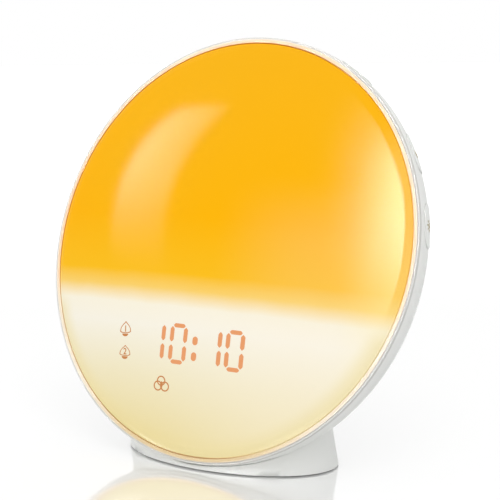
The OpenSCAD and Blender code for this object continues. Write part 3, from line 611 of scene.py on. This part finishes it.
def plastic(name, colour, roughness=0.45, grain_depth=0.02, grain=2500.0, drift=0.03, specular=0.35):
    """Moulded plastic. The tree, grain node and shader are for finishes that add to it."""
    material = bpy.data.materials.new(name)
    tree = node_tree(material)
    grained = placed_group(tree, MOULDED_GRAIN, Color=colour, Drift=drift, Grain_Size=grain,
                           Roughness=roughness)
    shader = add(tree, "ShaderNodeBsdfPrincipled")
    shader.inputs["Specular IOR Level"].default_value = specular
    link(tree, grained.outputs["Color"], shader.inputs["Base Color"])
    link(tree, grained.outputs["Roughness"], shader.inputs["Roughness"])
    bump(tree, grained.outputs["Height"], grain_depth, shader)
    finish_tree(tree, shader)
    return material, tree, grained, shader


def turned_metal(name, colour, roughness, pitch, centre=(0.0, 0.0)):
    material = bpy.data.materials.new(name)
    tree = node_tree(material)
    place = placed_group(tree, DISC_PLACE, Centre_Across=centre[0], Centre_Up=centre[1])
    turned = placed_group(tree, TURNED_METAL, Color=colour, Ring_Pitch=pitch, Roughness=roughness)
    link(tree, place.outputs["Radius"], turned.inputs["Radius"])
    shader = add(tree, "ShaderNodeBsdfPrincipled")
    shader.inputs["Metallic"].default_value = 1
    link(tree, turned.outputs["Color"], shader.inputs["Base Color"])
    link(tree, turned.outputs["Roughness"], shader.inputs["Roughness"])
    bump(tree, turned.outputs["Height"], 0.01, shader)
    finish_tree(tree, shader)
    return material


def tint(tree, grained, shader, share, colour):
    """Blends another colour into a grained plastic where share is high."""
    mixed = mix_colour(tree, share, grained.outputs["Color"], colour)
    link(tree, mixed, shader.inputs["Base Color"])
    return mixed


# ======== finishes that are lit from inside ========

def light_zones(tree, up):
    """The light behind the lens: orange above the baffle, then cream, and yellower low down."""
    ramp = add(tree, "ShaderNodeValToRGB")
    stops = ((-80, (236, 219, 157)), (-56, (241, 231, 196)), (-36, (247, 242, 227)),
             (-27.5, (249, 242, 222)), (-20.6, (250, 209, 108)), (-14, (251, 191, 30)),
             (10, (253, 182, 5)), (80, (249, 182, 24)))
    reach = 90
    elements = ramp.color_ramp.elements
    for k, (height, colour) in enumerate(stops):
        share = (height + reach) / (2 * reach)
        element = elements[k] if k < 2 else elements.new(share)
        element.position = share
        element.color = linear(*colour)
    span = add(tree, "ShaderNodeMapRange")
    span.inputs["From Min"].default_value = -reach
    span.inputs["From Max"].default_value = reach
    link(tree, up, span.inputs["Value"])
    link(tree, span.outputs["Result"], ramp.inputs["Fac"])
    return ramp.outputs["Color"]


def glowing(tree, colour, share, roughness, specular):
    """A surface whose colour is partly its own light and partly what falls on it."""
    shader = add(tree, "ShaderNodeBsdfPrincipled")
    shader.inputs["Roughness"].default_value = roughness
    shader.inputs["Specular IOR Level"].default_value = specular
    shader.inputs["Emission Strength"].default_value = share
    rest = 1 - share
    base = add(tree, "ShaderNodeMix", data_type="RGBA", blend_type="MULTIPLY")
    base.inputs["Factor"].default_value = 1
    base.inputs[7].default_value = (rest, rest, rest, 1)
    for socket in (base.inputs[6], shader.inputs["Emission Color"]):
        if isinstance(colour, tuple):
            socket.default_value = colour
        else:
            link(tree, colour, socket)
    link(tree, base.outputs[2], shader.inputs["Base Color"])
    finish_tree(tree, shader)


def opal_lens():
    """Milky diffuser, with faint clouding in the milk. Its colour is the light behind it, with painted
    highlights that make it paler on the right; low down it is paler towards the right and dimmer and
    yellower towards the rim.
    """
    material = bpy.data.materials.new("opal_lens")
    tree = node_tree(material)
    place = placed_group(tree, DISC_PLACE)
    cloud = noise(tree, object_place(tree), 60, 2)
    cloudy = math_node(tree, "MULTIPLY_ADD", cloud, 1.2, place.outputs["Up"])
    colour = light_zones(tree, math_node(tree, "ADD", cloudy, -0.6))
    # painted highlight: the orange is paler on the right, from the middle down
    right = smooth_step(tree, place.outputs["Across"], 0.0, 50.0)
    middle = smooth_step(tree, place.outputs["Up"], 32.0, 0.0)
    colour = mix_colour(tree, times(tree, right, middle, 0.1), colour, linear(255, 236, 196))
    # painted highlight: paler still near the right edge, below the top
    edge = smooth_step(tree, place.outputs["Across"], 58.0, 80.0)
    below_top = smooth_step(tree, place.outputs["Up"], 62.0, 34.0)
    colour = mix_colour(tree, times(tree, edge, below_top, 0.22), colour, linear(255, 238, 160))
    low = smooth_step(tree, place.outputs["Up"], -24.0, -34.0)
    rim = smooth_step(tree, place.outputs["Radius"], 77.0, 86.0)
    white_side = smooth_step(tree, place.outputs["Across"], -45.0, 45.0)
    colour = mix_colour(tree, times(tree, low, white_side, 0.28), colour, linear(255, 248, 234))
    colour = mix_colour(tree, times(tree, low, rim, 0.6), colour, linear(238, 222, 162))
    glowing(tree, colour, 0.58, 0.1, 0.03)
    return material


def lit_mark(name, colour, share=0.6):
    """A mark of light on the lens, or a window that such light comes from."""
    material = bpy.data.materials.new(name)
    tree = node_tree(material)
    cloud = times(tree, noise(tree, object_place(tree), 900, 2), 0.12)
    paler = tuple(c + (1 - c) * 0.5 for c in colour[:3]) + (1,)
    glowing(tree, mix_colour(tree, cloud, colour, paler), share, 0.1, 0.03)
    return material


def lit_trim():
    """White ring with the lens's light painted on it: a warm tint next to the lens, and a browner
    orange down in the gap, which is painted shade as well. Painted shade makes it darker and browner
    low down.
    """
    material, tree, grained, shader = plastic(
        "white_trim", linear(243, 240, 237), 0.45, 0.01, specular=0.15)
    place = placed_group(tree, DISC_PLACE)
    orange_side = smooth_step(tree, place.outputs["Up"], -32.0, -14.0)
    # painted lens light: a warm tint on the face next to the lens
    near = smooth_step(tree, place.outputs["Radius"], 88.1, 87.0)
    # painted shade: the ring is darker and browner low down
    painted_shade_low = smooth_step(tree, place.outputs["Up"], -64.0, -84.0)
    cream = mix_colour(tree, painted_shade_low, linear(240, 225, 202), linear(218, 194, 150))
    warm = mix_colour(tree, orange_side, cream, linear(242, 211, 174))
    face = mix_colour(tree, near, grained.outputs["Color"], warm)
    # painted lens light and painted shade in the gap: a browner orange than the face
    in_gap = smooth_step(tree, place.outputs["Out"], -0.05, -0.3)
    leg = smooth_step(tree, place.outputs["Radius"], 86.5, 86.3)
    gap_light_and_shade = mix_colour(tree, orange_side, linear(226, 196, 160), linear(224, 176, 84))
    colour = mix_colour(tree, times(tree, in_gap, leg), face, gap_light_and_shade)
    link(tree, colour, shader.inputs["Base Color"])
    return material


# ======== finishes of the inner pieces ========

def circuit_board():
    """Green solder mask with copper tracks under it."""
    material, tree, grained, shader = plastic(
        "solder_mask", (0.012, 0.10, 0.045, 1), 0.3, 0.005, 1500, 0.3, 0.5)
    place = placed_group(tree, DISC_PLACE)
    flat = add(tree, "ShaderNodeCombineXYZ")
    link(tree, place.outputs["Across"], flat.inputs["X"])
    link(tree, place.outputs["Up"], flat.inputs["Y"])
    tracks = add(tree, "ShaderNodeTexBrick")
    link(tree, flat.outputs[0], tracks.inputs["Vector"])
    for label, value in (("Scale", 0.35), ("Mortar Size", 0.06), ("Mortar Smooth", 0.2),
                         ("Brick Width", 1.7), ("Row Height", 0.55)):
        tracks.inputs[label].default_value = value
    tint(tree, grained, shader, tracks.outputs["Fac"], (0.04, 0.24, 0.09, 1))
    return material


def phosphor_led(name, phosphor):
    """White LED package with its phosphor window on top."""
    material, tree, grained, shader = plastic(name, linear(240, 240, 232), 0.35, 0.005)
    place = placed_group(tree, DISC_PLACE)
    window = smooth_step(tree, place.outputs["Out"], LED_TOP, LED_TOP + 0.1)
    colour = tint(tree, grained, shader, window, phosphor)
    link(tree, colour, shader.inputs["Emission Color"])
    shader.inputs["Emission Strength"].default_value = 0.25
    return material


def capacitor_can():
    """Dark sleeve with a bare aluminium top."""
    material, tree, grained, shader = plastic("capacitor_sleeve", (0.015, 0.02, 0.06, 1), 0.35, 0.004)
    place = placed_group(tree, DISC_PLACE)
    top = smooth_step(tree, place.outputs["Out"], CAN_TOP, CAN_TOP + 0.1)
    tint(tree, grained, shader, top, (0.6, 0.61, 0.63, 1))
    link(tree, top, shader.inputs["Metallic"])
    return material


def speaker_paper():
    """Black pressed paper with ribs round the cone."""
    material, tree, grained, shader = plastic(
        "cone_paper", (0.02, 0.02, 0.02, 1), 0.85, 0.03, 1800, 0.4, 0.2)
    place = placed_group(tree, DISC_PLACE, Centre_Up=SPEAKER_SPOT[1])
    ribs = math_node(tree, "SINE", times(tree, place.outputs["Radius"], 4.2))
    fibre = noise(tree, object_place(tree), 1800, 4)
    bump(tree, math_node(tree, "MULTIPLY_ADD", ribs, 0.6, fibre), 0.1, shader)
    tint(tree, grained, shader, times(tree, fibre, 0.2), (0.12, 0.11, 0.1, 1))
    return material


def coil_wire():
    """Lacquered copper wire wound round the former."""
    material, tree, grained, shader = plastic("coil_wire", (0.45, 0.16, 0.05, 1), 0.3, 0.002)
    place = placed_group(tree, DISC_PLACE)
    wire_pitch = 0.3
    turns = math_node(tree, "SINE", times(tree, place.outputs["Out"], 2 * math.pi / wire_pitch))
    turns = math_node(tree, "MULTIPLY_ADD", turns, 0.5, 0.5)
    tint(tree, grained, shader, turns, (0.72, 0.34, 0.14, 1))
    shader.inputs["Metallic"].default_value = 0.9
    bump(tree, turns, 0.05, shader)
    return material


def foam_ring():
    """Open black foam with round cells."""
    material, tree, grained, shader = plastic(
        "foam_ring", (0.03, 0.03, 0.03, 1), 0.95, 0.15, 900, 0.3, 0.1)
    cells = add(tree, "ShaderNodeTexVoronoi")
    cells.inputs["Scale"].default_value = 2200
    link(tree, object_place(tree), cells.inputs["Vector"])
    bump(tree, cells.outputs["Distance"], 0.2, shader)
    return material


def brushed_metal(name, colour, roughness, stretch=(1, 1, 1), scale=900.0):
    """Metal with streaks along the axes that stretch makes long, and small shade changes with them."""
    material = bpy.data.materials.new(name)
    tree = node_tree(material)
    turn = add(tree, "ShaderNodeMapping")
    turn.inputs["Scale"].default_value = stretch
    link(tree, object_place(tree), turn.inputs["Vector"])
    streaks = noise(tree, turn.outputs[0], scale, 3)
    shader = add(tree, "ShaderNodeBsdfPrincipled")
    shader.inputs["Metallic"].default_value = 1
    dark = tuple(c * 0.75 for c in colour[:3]) + (1,)
    link(tree, mix_colour(tree, streaks, colour, dark), shader.inputs["Base Color"])
    rough = math_node(tree, "MULTIPLY_ADD", streaks, 0.16, roughness - 0.08)
    link(tree, rough, shader.inputs["Roughness"])
    bump(tree, streaks, 0.01, shader)
    finish_tree(tree, shader)
    return material


# ======== the finish of every CAD node ========

def dress(material, *names):
    for name in names:
        data = NODES[name].data
        data.materials.clear()
        data.materials.append(material)


def named(start, *sides):
    return [n for n in NODES if n.startswith(start) and (not sides or n.split("_")[1] in sides)]


def white_shell(white):
    """The housing's white, with painted shade that makes it greyer on the lip round the trim ring."""
    material, tree, grained, shader = plastic("white_shell", white, 0.45, 0.02, specular=0.15)
    place = placed_group(tree, DISC_PLACE)
    # painted shade: a grey tint on the lip round the trim ring
    lip = times(tree, smooth_step(tree, place.outputs["Radius"], 87.3, 87.8),
                smooth_step(tree, place.outputs["Out"], -1.9, -1.2))
    tint(tree, grained, shader, lip, linear(208, 207, 203))
    return material


def dress_all():
    white = linear(237, 238, 235)
    dress(white_shell(white), "rear_housing", "battery_door")
    dress(plastic("white_foot", white, 0.45, 0.02, specular=0.15)[0], "foot")
    dress(plastic("white_keys", white, 0.4, 0.015, specular=0.15)[0], *named("key_", "left", "right"))
    dress(lit_trim(), "trim_ring")
    dress(opal_lens(), "lens_dome")
    dress(plastic("rubber_mat", (0.035, 0.035, 0.035, 1), 0.8, 0.08, 1200, 0.3, 0.25)[0], "foot_mat")
    dress(plastic("white_chassis", linear(240, 240, 236), 0.5, 0.02, 1800, 0.05)[0],
          "front_frame", "light_baffle")
    boards = ["led_board", "display_board", "main_board"] + named("key_board_")
    dress(circuit_board(), *boards)
    dress(phosphor_led("amber_led", linear(246, 170, 50)), "amber_leds")
    dress(phosphor_led("white_led", linear(244, 236, 150)), "white_leds")
    dress(plastic("display_block", linear(206, 202, 188), 0.5, 0.02)[0], "display_module")
    dress(lit_mark("digit_window", linear(236, 110, 40)), "digit_segments")
    dress(lit_mark("icon_window", linear(240, 222, 184)), "icon_guides")
    dress(plastic("chip_epoxy", (0.02, 0.02, 0.02, 1), 0.55, 0.03, 3500, 0.3)[0], "board_chips")
    dress(capacitor_can(), "board_capacitors")
    dress(plastic("natural_nylon", linear(236, 230, 208), 0.45, 0.01, 2000, 0.08)[0],
          "board_connectors")
    dress(plastic("switch_black", (0.04, 0.04, 0.04, 1), 0.5, 0.02)[0], *named("tact_switches_"))
    dress(plastic("jack_black", (0.02, 0.02, 0.02, 1), 0.35, 0.01)[0], "dc_jack")
    basket = turned_metal("basket_steel", (0.05, 0.05, 0.055, 1), 0.45, 0.8, SPEAKER_SPOT)
    dress(basket, "speaker_frame")
    magnet = turned_metal("magnet_ferrite", (0.12, 0.12, 0.125, 1), 0.5, 0.35, SPEAKER_SPOT)
    dress(magnet, "speaker_magnet")
    dress(speaker_paper(), "speaker_cone")
    dress(coil_wire(), "voice_coil")
    dress(foam_ring(), "speaker_gasket")
    dress(plastic("holder_black", (0.03, 0.03, 0.03, 1), 0.5, 0.02)[0], "battery_holder")
    dress(brushed_metal("plated_contact", (0.78, 0.62, 0.30, 1), 0.25, (1, 1, 0.1)),
          "battery_contacts")
    dress(brushed_metal("bright_cell", (0.66, 0.66, 0.67, 1), 0.25, (0.1, 1, 1)), "coin_cell")
    dress(brushed_metal("zinc_screw", (0.55, 0.56, 0.58, 1), 0.35),
          *[n for n in NODES if "screw" in n])
    dress(plastic("amber_nylon", (0.50, 0.28, 0.05, 1), 0.4, 0.01)[0], *named("plunger_"))
    for run, colour in (("led", (0.45, 0.01, 0.008, 1)), ("speaker", (0.015, 0.015, 0.015, 1)),
                        ("key", (0.008, 0.03, 0.28, 1))):
        dress(plastic(run + "_lead_sleeve", colour, 0.4, 0.01, 1500, 0.1)[0], run + "_leads")


# ======== the lens ========

def lens_profile():
    """The lens's section from its rim inward, as (radius, height): the inner side, then the outer."""
    def arc(centre_r, centre_z, size, first, last, steps):
        for k in range(1, steps + 1):
            slope = first + (last - first) * k / steps
            yield centre_r + size * math.sin(slope), centre_z + size * math.cos(slope)

    inner_band, inner_cap = LENS_BAND_R - LENS_T, LENS_SPHERE_R - LENS_T
    inner_rim = BAND_CX + math.sqrt(inner_band ** 2 - (LENS_T + BAND_CZ) ** 2)
    inside = [(LENS_R, -LENS_T), (inner_rim, -LENS_T)]
    inner_slope = math.asin((inner_rim - BAND_CX) / inner_band)
    inside += arc(BAND_CX, BAND_CZ, inner_band, inner_slope, CAP_SLOPE, 6)
    inside += arc(0, CAP_CENTRE, inner_cap, CAP_SLOPE, CAP_SLOPE / 24, 23)
    outside = list(arc(BAND_CX, BAND_CZ, LENS_BAND_R, BAND_SLOPE, CAP_SLOPE, 8))
    outside += arc(0, CAP_CENTRE, LENS_SPHERE_R, CAP_SLOPE, CAP_SLOPE / 40, 39)
    return inside, outside


def grow_rings(piece, start, profile):
    """From the ring at start, one extruded and scaled ring after the other, closed in the middle."""
    radius, height = start
    near = 0.01
    pick(piece, "verts",
         lambda p: abs(math.hypot(p.x, p.y) - radius) < near and abs(p.z - height) < near)
    for next_radius, next_height in profile:
        extrude(out=next_height - height)
        if abs(next_radius - radius) > 1e-6:
            ratio = next_radius / radius
            bpy.ops.transform.resize(value=(ratio, ratio, 1), center_override=(0, 0, next_height * MM))
        radius, height = next_radius, next_height
    extrude()
    bpy.ops.mesh.merge(type="CENTER")


def make_lens():
    """The milky dome with its steeper edge and the six snap hooks that hold it in the frame."""
    inside, outside = lens_profile()
    dome = begin_round("lens_cover", 192, LENS_R, "NOTHING")
    grow_rings(dome, (LENS_R, 0), inside)
    grow_rings(dome, (LENS_R, 0), outside)
    done(dome, 30)
    near = 0.05
    outer = HOOK_R + HOOK_SIZE[0] / 2
    side = HOOK_SIZE[1] / 2
    half_tall = HOOK_SIZE[2] / 2
    hook = begin("lens_hook", "cube", size=MM, scale=HOOK_SIZE,
                 location=(HOOK_R * MM, 0, HOOK_UP * MM))
    bpy.ops.mesh.bisect(plane_co=(0, 0, CATCH_UP * MM), plane_no=(0, 0, 1))
    pick(hook, "faces", lambda p: p.x > outer - near and p.z < CATCH_UP)
    extrude(across=CATCH_OUT)
    pick(hook, "edges", lambda p: p.x > outer + CATCH_OUT - near and p.z < HOOK_UP - half_tall + near)
    bpy.ops.mesh.bevel(offset=CATCH_EDGE * MM, segments=3)
    pick(hook, "edges", lambda p: p.x < outer - near and abs(p.y) > side - near
         and abs(p.z - HOOK_UP) < half_tall - near)
    bpy.ops.mesh.bevel(offset=HOOK_EDGE * MM, segments=2)
    done(hook, 30)
    hooks = [copy_of(hook, "lens_hook_%d" % turn, Matrix.Rotation(math.radians(turn), 4, "Z"))
             for turn in HOOK_ANGLES[1:]]
    apply_place(hook, Matrix.Rotation(math.radians(HOOK_ANGLES[0]), 4, "Z"))
    cover = join_pieces("lens_cover", [dome, hook] + hooks)
    apply_place(cover, ON_DISC)
    return cover


# ======== the time and the icons, as thin films of light on the lens ========

def make_bar(name, length, share=1.0):
    """One bar of a digit along the face's up: pointed at both ends, every corner a little rounded."""
    half_wide = BAR_WIDE / 2 * share
    point = half_wide / math.cos(math.pi / 6)
    flank = half_wide * math.tan(math.pi / 6)
    bar = begin_round(name, 6, point)
    shoulder = length / 2 - half_wide
    for end in (1, -1):
        pick(bar, "verts", lambda p: p.y * end > 0.1)
        move(up=end * (shoulder - flank))
        pick(bar, "verts", lambda p: p.y * end > shoulder + 0.1)
        move(up=end * (half_wide - point + flank))
    bpy.ops.mesh.select_all(action="SELECT")
    bpy.ops.mesh.bevel(offset=CORNER_R * MM, segments=3, affect="VERTICES")
    raise_film()
    done(bar)
    return bar


def make_dot(name):
    """One dot of the colon: a round that is drawn out into a short oblong."""
    dot = begin_round(name, 32, DOT_R)
    for end in (1, -1):
        pick(dot, "verts", lambda p: p.y * end > 0.01)
        move(up=end * DOT_DRAWN)
    raise_film()
    done(dot)
    return dot


def make_time():
    """The digits and the colon. A nought lacks its middle bar, and a one has two right-hand bars."""
    upright = make_bar("upright_bar", UPRIGHT_LONG)
    level = make_bar("level_bar", LEVEL_LONG, LEVEL_SHARE)
    dot = make_dot("colon_dot")
    pieces = []
    for centre, nought in zip(DIGIT_CENTRES, (False, True, False, True)):
        for end in (1, -1):
            for side in (1, -1) if nought else (1,):
                spot = on_lens(centre + side * DIGIT_WIDE / 2, DIGIT_UP + end * UPRIGHT_UP, FILM_START)
                pieces.append(copy_of(upright, "bar", spot))
            if nought:
                spot = on_lens(centre, DIGIT_UP + end * DIGIT_TALL / 2, FILM_START, 90)
                pieces.append(copy_of(level, "bar", spot))
    for end in (1, -1):
        pieces.append(copy_of(dot, "bar", on_lens(COLON[0], COLON[1] + end * DOT_UP, FILM_START)))
    for pattern in (upright, level, dot):
        bpy.data.objects.remove(pattern)
    return join_pieces("time_digits", pieces)


def make_number(name, figure, place):
    """A small figure as a flat mesh."""
    deselect()
    bpy.ops.object.text_add()
    text = bpy.context.object
    text.data.body = figure
    text.data.size = NUMBER_SIZE * MM
    text.data.extrude = FILM / 2 * MM
    text.data.offset = NUMBER_BOLD * MM
    text.data.align_x = "CENTER"
    text.data.align_y = "CENTER"
    bpy.ops.object.convert(target="MESH")
    number = bpy.context.object
    number.name = name
    apply_place(number, place)
    return number


def band_of_light(across, up):
    """Turns a flat face in edit mode into a thin band between its outline and a smaller one."""
    bpy.ops.mesh.select_all(action="SELECT")
    bpy.ops.mesh.delete(type="ONLY_FACE")
    bpy.ops.mesh.select_all(action="SELECT")
    bpy.ops.mesh.extrude_edges_move(TRANSFORM_OT_translate={"value": (0, 0, 0)})
    resize_picked(across, up)
    raise_film()


def make_bell(name, figure, across, up, tall, lean):
    """A pointed bell in outline with its filled clapper and its number: its tip is at across, up."""
    bell = begin_round(name, 24, BELL_HALF_WIDE)
    pick(bell, "verts", lambda p: p.y < -0.1)
    resize_picked(up=BELL_SKIRT)
    pick(bell, "verts", lambda p: p.y < -0.5)
    resize_picked(across=BELL_CORNER)
    pick(bell, "verts", lambda p: p.y > 0.1)
    resize_picked(up=BELL_CROWN)
    for level, share in BELL_TAPER:
        pick(bell, "verts", lambda p: p.y > level)
        resize_picked(across=share)
    pick(bell, "verts", lambda p: True)
    move(up=-BELL_DROP)
    resize_picked(up=tall)
    band_of_light(*BELL_LINE)
    done(bell)
    middle = up - BELL_TIP * tall
    apply_place(bell, on_lens(across, middle, FILM_START, lean))
    clapper = begin_round(name + "_clapper", 24, CLAPPER_R)
    resize_picked(up=CLAPPER_TALL)
    bpy.ops.mesh.bisect(plane_co=(0, 0, 0), plane_no=(0, 1, 0), use_fill=False, clear_outer=True)
    raise_film()
    done(clapper)
    apply_place(clapper, on_lens(across + 0.1, middle - CLAPPER_DROP * tall, CLAPPER_START, lean))
    number_up = middle + NUMBER_UP - NUMBER_DROP * tall
    number = make_number(name + "_number", figure, on_lens(across, number_up, NUMBER_START, lean))
    return join_pieces(name, [bell, clapper, number])


def make_rings(name):
    """Three thin rings that cross each other, with the middle filled."""
    pieces = []
    for k, (across, up) in enumerate(RING_CENTRES):
        ring = begin_round("thin_ring", 40, RING_R)
        resize_picked(up=RING_TALL)
        band_of_light(*RING_LINE)
        done(ring)
        apply_place(ring, on_lens(across, up, FILM_START + k * FILM_STEP))
        pieces.append(ring)
    core = begin_round("ring_core", 24, CORE_R)
    resize_picked(across=CORE_WIDE)
    raise_film()
    done(core)
    apply_place(core, on_lens(*CORE, CORE_START))
    return join_pieces(name, pieces + [core])


# ======== the printed marks of two keys ========

def on_key(rim_angle):
    """The middle of a key's face: its frame has x along the rim and z out of the wall."""
    slope = math.asin((KEY_DEPTH - EDGE_DEPTH) / KEY_FACE_R)
    spot = Vector((EDGE_CENTRE + KEY_FACE_R * math.cos(slope), 0, -KEY_DEPTH))
    out = Vector((math.cos(slope), 0, -math.sin(slope)))
    along = Vector((0, 1, 0))
    frame_axes = Matrix((along, out.cross(along), out)).transposed().to_4x4()
    return (ON_DISC @ Matrix.Rotation(math.radians(rim_angle), 4, "Z")
            @ Matrix.Translation(spot * MM) @ frame_axes)


def lay_on_key(mark, rim_angle, key):
    """Sets a flat mark on a key, bends it to the key's face and thickens it."""
    apply_place(mark, on_key(rim_angle))
    wrap = mark.modifiers.new("lay", "SHRINKWRAP")
    wrap.target = NODES[key]
    wrap.offset = PRINT_LIFT * MM
    bpy.ops.object.modifier_apply(modifier=wrap.name)
    bpy.ops.object.mode_set(mode="EDIT")
    bpy.ops.mesh.select_all(action="SELECT")
    bpy.ops.mesh.normals_make_consistent(inside=False)
    bpy.ops.object.mode_set(mode="OBJECT")
    wall = mark.modifiers.new("wall", "SOLIDIFY")
    wall.thickness = PRINT_T * MM
    wall.offset = 0
    bpy.ops.object.modifier_apply(modifier=wall.name)
    return mark


def make_sun():
    """A small round with eight rays."""
    disc = begin_round("sun_mark", 24, SUN_R, "TRIFAN")
    done(disc)
    ray = begin_round("sun_ray", 6, RAY_HALF_WIDE)
    move(up=RAY_UP)
    pick(ray, "verts", lambda p: p.y > RAY_UP)
    move(up=RAY_DRAWN)
    done(ray)
    rays = [copy_of(ray, "sun_ray_%d" % k, Matrix.Rotation(k * math.pi / 4, 4, "Z"))
            for k in range(1, 8)]
    return join_pieces("sun_mark", [disc, ray] + rays)


def make_moon():
    """A crescent: a round whose right side is turned over to the left and flattened."""
    moon = begin_round("moon_mark", 32, MOON_R, "NOTHING")
    pick(moon, "verts", lambda p: p.x > MOON_SPLIT)
    resize_picked(across=MOON_TURNED, middle=MOON_SPLIT)
    bpy.ops.mesh.select_all(action="SELECT")
    bpy.ops.mesh.edge_face_add()
    done(moon)
    return moon


# ======== the foot ========

def make_foot():
    """The foot's own surface, with its loose triangles joined and its sweep smooth."""
    foot = NODES["foot"].copy()
    foot.data = NODES["foot"].data.copy()
    foot.name = "foot_shell"
    bpy.context.collection.objects.link(foot)
    deselect()
    foot.select_set(True)
    bpy.context.view_layer.objects.active = foot
    bpy.ops.object.mode_set(mode="EDIT")
    bpy.ops.mesh.select_all(action="SELECT")
    bpy.ops.mesh.remove_doubles(threshold=0.001 * MM)
    done(foot, 40)
    return foot


def finish_piece(piece, material, body):
    piece.data.materials.clear()
    piece.data.materials.append(material)
    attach(piece, body)


def make_own_pieces():
    """The pieces that stand for CAD nodes, or lie on them."""
    lens = make_lens()
    finish_piece(lens, opal_lens(), "clock")
    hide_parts("lens_dome")
    finish_piece(make_time(), lit_mark("digit_light", linear(233, 155, 100), 0.75), "clock")
    icon_light = lit_mark("icon_light", linear(202, 130, 68), 0.75)
    for icon in (make_bell("bell_one", "1", -37.4, -35.7, tall=1, lean=4.5),
                 make_bell("bell_two", "2", -36.5, -45.5, tall=0.9, lean=2.5),
                 make_rings("three_rings")):
        finish_piece(icon, icon_light, "clock")
    key_print = plastic("key_print", linear(172, 156, 112), 0.45, 0.004, 3000, 0.15)[0]
    sun = lay_on_key(make_sun(), KEY_ANGLES["low"], "key_right_low")
    finish_piece(sun, key_print, "key_right_low_unit")
    moon = lay_on_key(make_moon(), KEY_ANGLES["mid"], "key_right_mid")
    finish_piece(moon, key_print, "key_right_mid_unit")
    foot = make_foot()
    finish_piece(foot, NODES["foot"].data.materials[0], "clock")
    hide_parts("foot")


bpy.context.scene.view_settings.view_transform = "Standard"
make_camera()
make_floor()
make_lights()
dress_all()
make_own_pieces()
